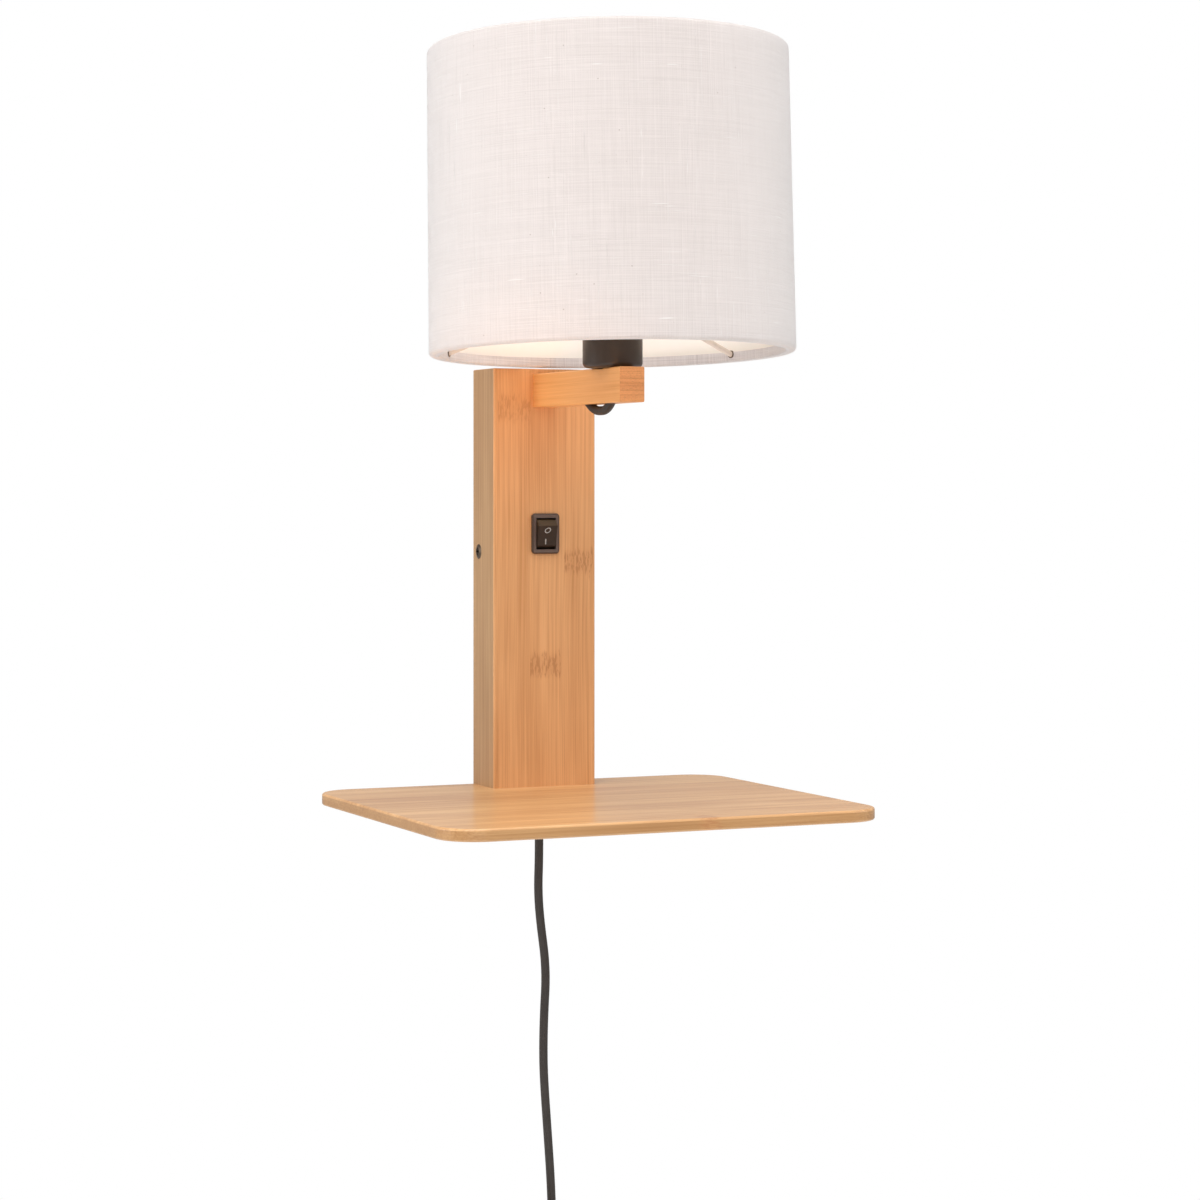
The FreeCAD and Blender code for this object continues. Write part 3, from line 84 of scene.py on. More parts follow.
def thicken(piece, thickness, offset):
    # gives a skin its wall: inwards with an offset of -1, to both sides with 0
    wall = piece.modifiers.new("wall", "SOLIDIFY")
    wall.thickness = thickness
    wall.offset = offset
    applyAll(piece)


def smooth(piece, angle):
    onlyPick(piece)
    bpy.ops.object.shade_smooth_by_angle(angle=math.radians(angle))


def dress(piece, material):
    piece.data.materials.clear()
    piece.data.materials.append(material)


def openMesh(piece):
    onlyPick(piece)
    bpy.ops.object.mode_set(mode="EDIT")
    bpy.ops.mesh.select_all(action="SELECT")


def closeMesh():
    # turns the faces outwards
    bpy.ops.mesh.select_all(action="SELECT")
    bpy.ops.mesh.normals_make_consistent(inside=False)
    bpy.ops.object.mode_set(mode="OBJECT")


def spinProfile(name, profile, centre, steps, material, start=0.0, sweep=fullTurn):
    # a turned piece: profile of (radius, height) spun round the vertical axis through centre
    pickNone()
    bpy.ops.mesh.primitive_plane_add(size=mm, location=(0, 0, 0))
    piece = named(name)
    piece.data.clear_geometry()
    points = [Vector((centre[0] + radius * math.cos(start), centre[1] + radius * math.sin(start), height))
              for radius, height in profile]
    piece.data.from_pydata(points, [(i, i + 1) for i in range(len(points) - 1)], [])
    openMesh(piece)
    bpy.ops.mesh.spin(steps=steps, angle=sweep, center=(*centre, 0), axis=(0, 0, 1))
    bpy.ops.mesh.select_all(action="SELECT")
    bpy.ops.mesh.remove_doubles(threshold=weldGap)
    closeMesh()
    dress(piece, material)
    return piece


def newGroup(name, inputs, outputs):
    group = bpy.data.node_groups.new(name, "ShaderNodeTree")
    for way, sockets in (("INPUT", inputs), ("OUTPUT", outputs)):
        for label, kind in sockets.items():
            group.interface.new_socket(name=label, in_out=way, socket_type="NodeSocket" + kind)
    source, target = group.nodes.new("NodeGroupInput"), group.nodes.new("NodeGroupOutput")
    return group, Wiring(group), source.outputs, target.inputs


class Wiring:
    # short ways to add nodes to one tree

    def __init__(self, tree):
        self.tree = tree

    def add(self, kind, **values):
        node = self.tree.nodes.new(kind)
        for key, value in values.items():
            setattr(node, key, value)
        return node

    def join(self, source, target):
        self.tree.links.new(source, target)

    def feed(self, socket, value):
        if isinstance(value, bpy.types.NodeSocket):
            self.join(value, socket)
        else:
            socket.default_value = value

    def maths(self, how, first, second=0.0, clamp=False):
        node = self.add("ShaderNodeMath", operation=how, use_clamp=clamp)
        self.feed(node.inputs[0], first)
        self.feed(node.inputs[1], second)
        return node.outputs[0]

    def times(self, first, second):
        return self.maths("MULTIPLY", first, second)

    def mean(self, first, second):
        return self.sum(self.times(first, 0.5), self.times(second, 0.5))

    def sway(self, wave, reach):
        # a noise moved to lie about zero
        return self.times(self.maths("SUBTRACT", wave, 0.5), reach)

    def vector(self, how, first, second):
        node = self.add("ShaderNodeVectorMath", operation=how)
        self.feed(node.inputs[0], first)
        self.feed(node.inputs[1], second)
        return node.outputs[0]

    def scaled(self, vector, sizes):
        return self.vector("MULTIPLY", vector, sizes)

    def sum(self, *values):
        total = values[0]
        for value in values[1:]:
            total = self.maths("ADD", total, value)
        return total

    def noise(self, vector, detail=2.0, rough=0.5):
        node = self.add("ShaderNodeTexNoise")
        self.feed(node.inputs["Vector"], vector)
        node.inputs["Scale"].default_value = 1.0
        node.inputs["Detail"].default_value = detail
        node.inputs["Roughness"].default_value = rough
        return node.outputs["Fac"]

    def span(self, value, low, high, newLow=0.0, newHigh=1.0):
        node = self.add("ShaderNodeMapRange", interpolation_type="SMOOTHSTEP")
        self.feed(node.inputs["Value"], value)
        self.feed(node.inputs["From Min"], low)
        self.feed(node.inputs["From Max"], high)
        self.feed(node.inputs["To Min"], newLow)
        self.feed(node.inputs["To Max"], newHigh)
        return node.outputs["Result"]

    def blend(self, share, first, second):
        node = self.add("ShaderNodeMix", data_type="RGBA")
        self.feed(node.inputs[0], share)
        self.feed(node.inputs[6], first)
        self.feed(node.inputs[7], second)
        return node.outputs[2]

    def split(self, vector):
        node = self.add("ShaderNodeSeparateXYZ")
        self.feed(node.inputs[0], vector)
        return node.outputs

    def merge(self, x, y, z):
        node = self.add("ShaderNodeCombineXYZ")
        for socket, value in zip(node.inputs, (x, y, z)):
            self.feed(socket, value)
        return node.outputs[0]

    def place(self, group, values):
        node = self.add("ShaderNodeGroup", node_tree=group)
        for label, value in values.items():
            self.feed(node.inputs[label], value)
        return node.outputs


grainLayers = {
    # scale: waves per metre across, through and along the strips; reach: the part of a noise that shows;
    # share: its part in the tone
    "fibre": {"scale": (2300, 2300, 22), "detail": 3.0, "rough": 0.6, "reach": (0.32, 0.70), "share": 0.22},
    "vein": {"scale": (900, 900, 9), "detail": 2.0, "rough": 0.6, "reach": (0.34, 0.68), "share": 0.26},
    "streak": {"scale": (260, 260, 5), "detail": 2.0, "rough": 0.5, "reach": (0.32, 0.68), "share": 0.15},
    "cloud": {"scale": (40, 40, 11), "detail": 2.0, "rough": 0.5, "reach": (0.30, 0.70), "share": 0.21},
}
grainLook = {
    "stripShare": 0.16, "stripSlide": 7.0,                      # each strip's own tone and start
    "bendStep": 5.3, "bendsPerMetre": 9.0, "drift": 0.0035,     # how far fibres drift sideways
    "darkReach": (0.56, 0.72), "darkest": 0.30, "darkMix": 0.45, "darkColour": (0.20, 0.08, 0.02, 1),
    "glueReach": (0.486, 0.4995), "glueColour": (0.25, 0.11, 0.035, 1),
    "roughReach": (0.2, 0.8), "roughness": (0.40, 0.56), "fibreHeight": 0.6,
}


def makeBambooGrain():
    # pressed bamboo: the vector runs across, through and along the strips, in metres
    group, w, given, result = newGroup(
        "bambooGrain",
        {"Vector": "Vector", "Strip Width": "Float", "Seed": "Float", "Pale": "Color", "Deep": "Color",
         "Contrast": "Float", "Glue": "Float"},
        {"Color": "Color", "Roughness": "Float", "Height": "Float"})
    look = grainLook
    across, through, along = w.split(given["Vector"])
    stripPlace = w.maths("DIVIDE", across, given["Strip Width"])
    strip = w.maths("FLOOR", stripPlace)
    tint = w.add("ShaderNodeTexWhiteNoise", noise_dimensions="2D")
    w.join(w.merge(strip, given["Seed"], 0.0), tint.inputs["Vector"])
    stripTone = tint.outputs["Value"]
    slide = w.times(stripTone, look["stripSlide"])
    # the strips are sawn a little askew, so fibres drift sideways along their length
    bend = w.noise(w.merge(w.times(strip, look["bendStep"]), 0.0,
                           w.times(along, look["bendsPerMetre"])), detail=1.0)
    askew = w.sum(across, given["Seed"], w.sway(bend, look["drift"]))
    shifted = w.merge(askew, through, w.sum(along, slide))
    waves, tone = {}, 0.0
    for name, layer in grainLayers.items():
        waves[name] = w.noise(w.scaled(shifted, layer["scale"]), layer["detail"], layer["rough"])
        tone = w.sum(tone, w.times(w.span(waves[name], *layer["reach"]), layer["share"]))
    tone = w.sum(tone, w.times(stripTone, look["stripShare"]))
    centred = w.maths("SUBTRACT", tone, 0.5)
    tone = w.maths("ADD", w.times(centred, given["Contrast"]), 0.5, clamp=True)
    colour = w.blend(tone, given["Pale"], given["Deep"])
    dark = w.span(w.mean(waves["fibre"], waves["vein"]), *look["darkReach"], 0.0, look["darkest"])
    colour = w.blend(dark, colour, w.blend(look["darkMix"], given["Deep"], look["darkColour"]))
    # the glue line between two strips
    fromMiddle = w.maths("ABSOLUTE", w.maths("SUBTRACT", w.maths("FRACT", stripPlace), 0.5))
    line = w.times(w.span(fromMiddle, *look["glueReach"]), given["Glue"])
    height = w.maths("SUBTRACT", w.times(waves["fibre"], look["fibreHeight"]), line)
    w.join(w.blend(line, colour, look["glueColour"]), result["Color"])
    w.join(w.span(waves["fibre"], *look["roughReach"], *look["roughness"]), result["Roughness"])
    w.join(height, result["Height"])
    return group


knuckleLook = {
    "sideFade": 0.0007, "raggedScale": (900.0, 900.0, 25.0), "ragged": 0.016, "ends": (1.0, 0.45),
    "strokeScale": (1150.0, 1150.0, 210.0), "strokeReach": (0.46, 0.56), "bandEnds": (1.25, 0.3),
}


def makeKnuckleMark():
    # the cross band of short brush strokes where a cane had a knuckle
    group, w, given, result = newGroup(
        "knuckleMark",
        {"Vector": "Vector", "Centre": "Vector", "Half Width": "Float", "Half Height": "Float"},
        {"Mask": "Float", "Band": "Float"})
    look = knuckleLook
    local = w.vector("SUBTRACT", given["Vector"], given["Centre"])
    axes = w.split(local)
    across, along = axes[0], axes[2]
    inside = w.maths("SUBTRACT", given["Half Width"], w.maths("ABSOLUTE", across))
    inWidth = w.span(inside, 0.0, look["sideFade"])
    # every stroke starts and ends at its own height
    uneven = w.noise(w.scaled(local, look["raggedScale"]), detail=1.0)
    moved = w.sum(along, w.sway(uneven, look["ragged"]))
    share = w.maths("DIVIDE", w.maths("ABSOLUTE", moved), given["Half Height"])
    strokes = w.noise(w.scaled(given["Vector"], look["strokeScale"]), detail=2.0, rough=0.6)
    mask = w.times(inWidth, w.span(share, *look["ends"]))
    w.join(w.times(mask, w.span(strokes, *look["strokeReach"])), result["Mask"])
    plainShare = w.maths("DIVIDE", w.maths("ABSOLUTE", along), given["Half Height"])
    w.join(w.times(inWidth, w.span(plainShare, *look["bandEnds"])), result["Band"])
    return group


fineGrainLook = {"mottlesPerMetre": 160.0, "reach": (0.3, 0.7)}


def makeFineGrain():
    # the fine skin of moulded plastic or paint, as a height and a roughness
    group, w, given, result = newGroup(
        "fineGrain", {"Vector": "Vector", "Grain Size": "Float", "Low": "Float", "High": "Float"},
        {"Roughness": "Float", "Height": "Float", "Mottle": "Float"})
    look = fineGrainLook
    spread = w.add("ShaderNodeVectorMath", operation="SCALE")
    w.join(given["Vector"], spread.inputs[0])
    w.join(w.maths("DIVIDE", 1.0, given["Grain Size"]), spread.inputs["Scale"])
    grain = w.noise(spread.outputs[0], detail=2.0)
    mottle = w.noise(w.scaled(given["Vector"], (look["mottlesPerMetre"],) * 3), detail=3.0)
    rough = w.span(w.mean(grain, mottle), *look["reach"], given["Low"], given["High"])
    w.join(rough, result["Roughness"])
    w.join(grain, result["Height"])
    w.join(mottle, result["Mottle"])
    return group


weaveLook = {
    "wander": (60.0, 60.0, 1.0), "drift": 0.0008, "crossing": (-0.2, 0.2),
    # each yarn is slid along itself by its own amount, so thick places never line up
    "slidesPerMetre": 900.0, "slide": 0.35,
    "warp": {"slideSeed": 3.0, "yarn": (1700.0, 36.0, 1.0), "slub": (900.0, 70.0, 1.0)},
    "weft": {"slideSeed": 9.0, "yarn": (30.0, 1900.0, 1.0), "slub": (55.0, 1000.0, 1.0)},
    "slubReach": (0.68, 0.78), "speck": (620.0, 620.0, 1.0), "speckReach": (0.86, 0.90),
    "slubHeight": 0.9, "yarnHeight": 0.6,
}


def makeLinenWeave():
    # plain weave on a uv map in metres: u round the drum, v up it
    group, w, given, result = newGroup(
        "linenWeave", {"UV": "Vector", "Thread": "Float"},
        {"Tone": "Float", "Slub": "Float", "Speck": "Float", "Height": "Float"})
    look = weaveLook
    u, v = w.split(given["UV"])[:2]
    wander = w.noise(w.scaled(given["UV"], look["wander"]), detail=2.0)
    drift = w.sway(wander, look["drift"])
    waves = []
    for place in (u, v):
        thread = w.maths("DIVIDE", w.sum(place, drift), given["Thread"])
        waves.append(w.maths("SINE", w.times(thread, math.pi)))
    over = w.times(*waves)
    warpRound, weftRound = [w.maths("ABSOLUTE", wave) for wave in waves]
    weave = w.blend(w.span(over, *look["crossing"]), w.merge(weftRound, weftRound, weftRound),
                    w.merge(warpRound, warpRound, warpRound))
    # uneven yarn, thick and thin, in both directions
    yarns, slubs = [], []
    for way, across, along in (("warp", u, v), ("weft", v, u)):
        own = look[way]
        slide = w.noise(w.merge(w.times(across, look["slidesPerMetre"]), own["slideSeed"], 0.0),
                        detail=0.0)
        slid = w.sum(along, w.times(slide, look["slide"]))
        run = w.merge(u, slid, 0.0) if way == "warp" else w.merge(slid, v, 0.0)
        yarns.append(w.noise(w.scaled(run, own["yarn"]), rough=0.6))
        slubs.append(w.span(w.noise(w.scaled(run, own["slub"]), detail=1.0), *look["slubReach"]))
    yarn = w.mean(*yarns)
    slub = w.maths("MAXIMUM", *slubs)
    speck = w.span(w.noise(w.scaled(given["UV"], look["speck"]), detail=0.0), *look["speckReach"])
    raised = w.sum(w.times(slub, look["slubHeight"]), w.times(yarn, look["yarnHeight"]))
    for label, value in (("Tone", yarn), ("Slub", slub), ("Speck", speck), ("Height", w.sum(weave, raised))):
        w.join(value, result[label])
    return group


bambooGrain = makeBambooGrain()
knuckleMark = makeKnuckleMark()
fineGrain = makeFineGrain()
linenWeave = makeLinenWeave()
say("shader groups ready")


def newMaterial(name, sockets):
    material = bpy.data.materials.new(name)
    material.use_nodes = True
    shader = material.node_tree.nodes["Principled BSDF"]
    for label, value in sockets.items():
        shader.inputs[label].default_value = value
    return material, Wiring(material.node_tree), shader


def objectPlace(w):
    return w.add("ShaderNodeTexCoord").outputs["Object"]


def bump(w, shader, height, strength, distance):
    node = w.add("ShaderNodeBump")
    node.inputs["Strength"].default_value = strength
    node.inputs["Distance"].default_value = distance
    w.join(height, node.inputs["Height"])
    w.join(node.outputs["Normal"], shader.inputs["Normal"])


def reordered(w, vector, order):
    # the order names the board's own axes across, through and along its strips
    axes = w.split(vector)
    return w.merge(*[axes["XYZ".index(letter)] for letter in order])


bambooBoards = {
    "post": {
        "order": "XYZ", "shift": (0.0094, 0.0, 0.0), "coat": 0.12, "gloss": 0.32,
        "face": {"strip": 0.0191, "seed": 3.0, "contrast": 1.4, "glue": 0.10,
                 "pale": (0.76, 0.395, 0.170, 1), "deep": (0.55, 0.245, 0.085, 1)},
        "marks": [{"centre": (-0.0170, -0.029, 0.0745), "half": (0.0095, 0.0085), "strength": 0.42},
                  {"centre": (0.0190, -0.029, -0.0052), "half": (0.0085, 0.0068), "strength": 0.66},
                  {"centre": (0.0004, -0.029, -0.0585), "half": (0.0090, 0.0068), "strength": 0.58}],
        "sides": {"from": 0.0284, "strip": 0.0051, "seed": 7.0, "contrast": 1.4, "glue": 0.55,
                  "pale": (0.50, 0.30, 0.145, 1), "deep": (0.34, 0.178, 0.072, 1)},
    },
    "shelf": {
        "order": "YZX", "shift": (0.004, 0.0, 0.0), "coat": 0.60, "gloss": 0.20,
        "face": {"strip": 0.0205, "seed": 11.0, "contrast": 1.55, "glue": 0.16,
                 "pale": (0.80, 0.465, 0.205, 1), "deep": (0.50, 0.235, 0.082, 1)},
        "marks": [{"centre": (0.013, -0.1950, -0.1240), "half": (0.012, 0.006), "strength": 0.50}],
        "edge": {"below": -0.1219, "fade": 0.0005, "strip": 0.0021, "seed": 17.0, "contrast": 1.5,
                 "glue": 0.45, "pale": (0.56, 0.31, 0.125, 1), "deep": (0.40, 0.19, 0.062, 1)},
    },
    "arm": {
        "order": "ZXY", "shift": (-0.07445, 0.0, 0.0), "coat": 0.12, "gloss": 0.32,
        "face": {"strip": 0.00573, "seed": 23.0, "contrast": 1.3, "glue": 0.10,
                 "pale": (0.84, 0.405, 0.138, 1), "deep": (0.70, 0.29, 0.075, 1)},
        "marks": [],
        "end": {"from": -0.1366, "strip": 0.00573, "seed": 25.0, "contrast": 1.3, "glue": 0.75,
                "pale": (0.83, 0.375, 0.14, 1), "deep": (0.60, 0.228, 0.074, 1),
                "dots": (2600, 40, 2600), "dotReach": (0.50, 0.68), "dotShare": 0.5,
                "dotColour": (0.30, 0.13, 0.05, 1)},
    },
}
bambooLook = {
    "ior": 1.48, "bump": (0.22, 0.00012),                       # bump: strength and depth
    "bandShare": 0.75, "band": (0.58, 0.27, 0.10, 1), "stroke": (0.40, 0.16, 0.052, 1),
}


def strips(w, vector, face):
    return w.place(bambooGrain, {"Vector": vector, "Strip Width": face["strip"], "Seed": face["seed"],
                                 "Pale": face["pale"], "Deep": face["deep"], "Contrast": face["contrast"],
                                 "Glue": face["glue"]})


def makeBamboo(name, board):
    material, w, shader = newMaterial("bamboo_" + name, {
        "IOR": bambooLook["ior"], "Coat Weight": board["coat"], "Coat Roughness": board["gloss"]})
    place = objectPlace(w)
    local = reordered(w, place, board["order"])
    shifted = w.vector("ADD", local, board["shift"])
    grain = strips(w, shifted, board["face"])
    colour = grain["Color"]
    if "edge" in board:
        # the rim shows the plies, darker than the top
        edge = board["edge"]
        rim = w.span(w.split(place)[2], edge["below"], edge["below"] - edge["fade"])
        colour = w.blend(rim, colour, strips(w, reordered(w, place, "ZYX"), edge)["Color"])
    for spot in board["marks"]:
        centre = [spot["centre"]["XYZ".index(letter)] for letter in board["order"]]
        mark = w.place(knuckleMark, {"Vector": local, "Centre": centre, "Half Width": spot["half"][0],
                                     "Half Height": spot["half"][1]})
        band = w.times(mark["Band"], spot["strength"] * bambooLook["bandShare"])
        colour = w.blend(band, colour, bambooLook["band"])
        colour = w.blend(w.times(mark["Mask"], spot["strength"]), colour, bambooLook["stroke"])
    if "sides" in board:
        # the boards' edges: greyer, in thin layers with dark lines between them
        sides = board["sides"]
        side = w.maths("GREATER_THAN", w.maths("ABSOLUTE", w.split(place)[0]), sides["from"])
        colour = w.blend(side, colour, strips(w, reordered(w, place, "YXZ"), sides)["Color"])
    if "end" in board:
        # sawn end: fibre ends as dots, layers with dark joints
        end = board["end"]
        sawn = w.maths("LESS_THAN", w.split(place)[1], end["from"])
        dots = w.noise(w.scaled(place, end["dots"]), detail=2.0, rough=0.7)
        cut = strips(w, reordered(w, shifted, "XZY"), end)["Color"]
        dotted = w.blend(w.span(dots, *end["dotReach"], 0.0, end["dotShare"]), cut, end["dotColour"])
        colour = w.blend(sawn, colour, dotted)
    w.join(colour, shader.inputs["Base Color"])
    w.join(grain["Roughness"], shader.inputs["Roughness"])
    bump(w, shader, grain["Height"], *bambooLook["bump"])
    return material


plastics = {
    "bakelite": {"colour": (0.040, 0.025, 0.017, 1), "rough": (0.36, 0.48), "grain": 0.0004, "bump": 0.20,
                 "shine": 0.40},
    "nylon": {"colour": (0.66, 0.65, 0.60, 1), "rough": (0.42, 0.55), "grain": 0.0005, "bump": 0.2},
    "cord_sheath": {"colour": (0.028, 0.020, 0.015, 1), "rough": (0.46, 0.60), "grain": 0.0006, "bump": 0.4},
    "gland_rubber": {"colour": (0.022, 0.019, 0.017, 1), "rough": (0.5, 0.62), "grain": 0.0005, "bump": 0.32},
    "tie_plastic": {"colour": (0.028, 0.026, 0.024, 1), "rough": (0.40, 0.52), "grain": 0.0005, "bump": 0.24},
    "plug_plastic": {"colour": (0.026, 0.022, 0.020, 1), "rough": (0.42, 0.56), "grain": 0.0006, "bump": 0.4},
    "ceramic": {"colour": (0.78, 0.75, 0.68, 1), "rough": (0.18, 0.30), "grain": 0.0008, "bump": 0.12},
    "cream_wire": {"colour": (0.74, 0.63, 0.54, 1), "rough": (0.30, 0.44), "grain": 0.0007, "bump": 0.2},
}
plasticLook = {"mottleReach": (0.35, 0.70), "darker": 0.89, "bumpDepth": 0.00005}
# ridge: colour of a painted reflection of the wood on the rocker's raised end
rockerLook = {"colour": (0.040, 0.024, 0.015, 1), "rough": (0.44, 0.56), "grain": 0.00045, "bump": 0.16,
              "shine": 0.22, "ridge": (0.058, 0.034, 0.014, 1), "ridgeFrom": (0.0131, 0.0137)}
bezelLook = {"colour": (0.130, 0.087, 0.070, 1), "rough": (0.38, 0.50), "grain": 0.00035, "bump": 0.20,
             "shine": 0.35, "bevel": (0.060, 0.036, 0.024, 1), "centre": 0.0094, "flat": (0.0068, 0.0096),
             "bevelFrom": (-0.0002, 0.0004)}


def skin(w, shader, rough, size):
    # joins the fine grain's roughness to the shader and gives back the grain's outputs
    grain = w.place(fineGrain, {"Vector": objectPlace(w), "Grain Size": size, "Low": rough[0],
                                "High": rough[1]})
    w.join(grain["Roughness"], shader.inputs["Roughness"])
    return grain


def makePlastic(name, look, repaint=None):
    material, w, shader = newMaterial(name, {"IOR": 1.5, "Specular IOR Level": look.get("shine", 0.5)})
    grain = skin(w, shader, look["rough"], look["grain"])
    darker = (*[part * plasticLook["darker"] for part in look["colour"][:3]], 1)
    colour = w.blend(w.span(grain["Mottle"], *plasticLook["mottleReach"]), look["colour"], darker)
    if repaint:
        colour = repaint(w, colour, look)
    w.join(colour, shader.inputs["Base Color"])
    bump(w, shader, grain["Height"], look["bump"], plasticLook["bumpDepth"])
    return material


def paintedRidgeReflection(w, colour, look):
    # painted reflection: the rocker's raised end is tinted olive for the wood it reflects
    height = w.split(objectPlace(w))[2]
    return w.blend(w.span(height, *look["ridgeFrom"]), colour, look["ridge"])


def darkBevel(w, colour, look):
    # a darker bevel round the outside of the switch's bezel
    x, y, z = w.split(objectPlace(w))
    sideways = w.maths("SUBTRACT", w.maths("ABSOLUTE", x), look["flat"][0])
    upward = w.maths("SUBTRACT", w.maths("ABSOLUTE", w.maths("SUBTRACT", z, look["centre"])), look["flat"][1])
    outside = w.span(w.maths("MAXIMUM", sideways, upward), *look["bevelFrom"])
    return w.blend(outside, colour, look["bevel"])


metals = {
    "zinc_steel": {"colour": (0.60, 0.60, 0.58, 1), "dull": (0.51, 0.51, 0.50, 1), "rough": (0.28, 0.46)},
    "bronze_steel": {"colour": (0.18, 0.13, 0.09, 1), "dull": (0.10, 0.072, 0.052, 1), "rough": (0.32, 0.50)},
    "brass": {"colour": (0.80, 0.56, 0.24, 1), "dull": (0.58, 0.38, 0.15, 1), "rough": (0.22, 0.40)},
    "nickel_cap": {"colour": (0.72, 0.70, 0.66, 1), "dull": (0.52, 0.50, 0.47, 1), "rough": (0.18, 0.34)},
}
metalLook = {"grain": 0.0003, "mottleReach": (0.40, 0.72), "bump": (0.12, 0.00003)}


def makeMetal(name, look):
    material, w, shader = newMaterial(name, {"Metallic": 1.0})
    grain = skin(w, shader, look["rough"], metalLook["grain"])
    stain = w.span(grain["Mottle"], *metalLook["mottleReach"])
    w.join(w.blend(stain, look["colour"], look["dull"]), shader.inputs["Base Color"])
    bump(w, shader, grain["Height"], *metalLook["bump"])
    return material


insulation = {
    "brown": (0.17, 0.065, 0.026, 1), "blue": (0.03, 0.11, 0.36, 1), "rough": (0.34, 0.46),
    "grain": 0.0004, "bump": (0.15, 0.00004),
    "middles": {"supply": 0.0031, "switch": 0.0030, "holder": 0.0},      # x between the two cores
}


def makeInsulation(name, middle):
    # brown on one side of the pair, blue on the other
    material, w, shader = newMaterial(name, {"IOR": 1.5})
    grain = skin(w, shader, insulation["rough"], insulation["grain"])
    side = w.maths("GREATER_THAN", w.split(objectPlace(w))[0], middle)
    w.join(w.blend(side, insulation["brown"], insulation["blue"]), shader.inputs["Base Color"])
    bump(w, shader, grain["Height"], *insulation["bump"])
    return material


paleLooks = {
    # the bulb is on, warm and soft
    "opal_glass": {"rough": (0.20, 0.30), "grain": 0.0004, "glowReach": (0.3, 0.7),
                   "sockets": {"IOR": 1.5, "Emission Strength": 0.95},
                   "colours": ((0.86, 0.85, 0.82, 1), (0.80, 0.79, 0.76, 1)),
                   "glow": ((1.0, 0.88, 0.74, 1), (1.0, 0.85, 0.70, 1))},
    # laminate inside the cloth; its faint emission is a painted glow for the lit bulb shining through it a
    # little
    "shade_lining": {"rough": (0.50, 0.64), "grain": 0.003,
                     "sockets": {"IOR": 1.46, "Emission Strength": 0.13},
                     "colours": ((0.90, 0.87, 0.83, 1), (0.87, 0.84, 0.80, 1)),
                     "glow": ((1.0, 0.93, 0.84, 1), (1.0, 0.91, 0.81, 1))},
    "switch_print": {"rough": (0.45, 0.60), "grain": 0.0004, "sockets": {"IOR": 1.5},
                     "colours": ((0.40, 0.385, 0.37, 1), (0.31, 0.30, 0.29, 1))},
}


def makePale(name, look):
    material, w, shader = newMaterial(name, look["sockets"])
    mottle = skin(w, shader, look["rough"], look["grain"])["Mottle"]
    w.join(w.blend(mottle, *look["colours"]), shader.inputs["Base Color"])
    if "glow" in look:
        share = w.span(mottle, *look["glowReach"]) if "glowReach" in look else mottle
        w.join(w.blend(share, *look["glow"]), shader.inputs["Emission Color"])
    return material


linenLook = {
    "thread": 0.00052, "toneReach": (0.36, 0.64), "cloth": ((0.79, 0.715, 0.685, 1), (0.68, 0.61, 0.58, 1)),
    "slub": (0.90, 0.86, 0.83, 1), "slubShare": 0.75, "speck": (0.33, 0.25, 0.20, 1), "speckShare": 0.55,
    # painted light: inside the lower rim the cloth is coloured lighter and cooler, against the shade and the
    # warm cast that fall there
    "paintedHemLight": ((0.82, 0.79, 0.80, 1), (0.60, 0.57, 0.58, 1)), "paintedHemLightTo": (0.0060, 0.0075),
    "roughReach": (0.3, 0.7), "rough": (0.82, 0.95), "bump": (0.75, 0.00022),
}


def makeLinen():
    look = linenLook
    # the cloth's faint emission, in its own colour, is a painted glow of the lit shade
    material, w, shader = newMaterial("linen", {
        "IOR": 1.4, "Sheen Weight": 1.0, "Sheen Roughness": 0.4, "Emission Strength": 0.04})
    uv = w.add("ShaderNodeUVMap", uv_map="cloth").outputs["UV"]
    weave = w.place(linenWeave, {"UV": uv, "Thread": look["thread"]})
    tone = w.span(weave["Tone"], *look["toneReach"])
    colour = w.blend(tone, *look["cloth"])
    for label, finish in (("Slub", "slub"), ("Speck", "speck")):
        colour = w.blend(w.times(weave[label], look[finish + "Share"]), colour, look[finish])
    # painted light on the cloth turned inside the lower rim
    paintedHemLight = w.span(w.split(uv)[1], *look["paintedHemLightTo"], 1.0, 0.0)
    colour = w.blend(paintedHemLight, colour, w.blend(tone, *look["paintedHemLight"]))
    w.join(colour, shader.inputs["Base Color"])
    w.join(colour, shader.inputs["Emission Color"])
    w.join(w.span(weave["Tone"], *look["roughReach"], *look["rough"]), shader.inputs["Roughness"])
    bump(w, shader, weave["Height"], *look["bump"])
    return material


materials = {"bamboo_" + name: makeBamboo(name, board) for name, board in bambooBoards.items()}
for makeFinish, looks in ((makePlastic, plastics), (makeMetal, metals), (makePale, paleLooks)):
    materials.update({name: makeFinish(name, look) for name, look in looks.items()})
for cores, coreMiddle in insulation["middles"].items():
    materials[cores + "_insulation"] = makeInsulation(cores + "_insulation", coreMiddle)
materials["rocker_plastic"] = makePlastic("rocker_plastic", rockerLook, paintedRidgeReflection)
materials["switch_plastic"] = makePlastic("switch_plastic", bezelLook, darkBevel)
materials["linen"] = makeLinen()
say("materials ready")

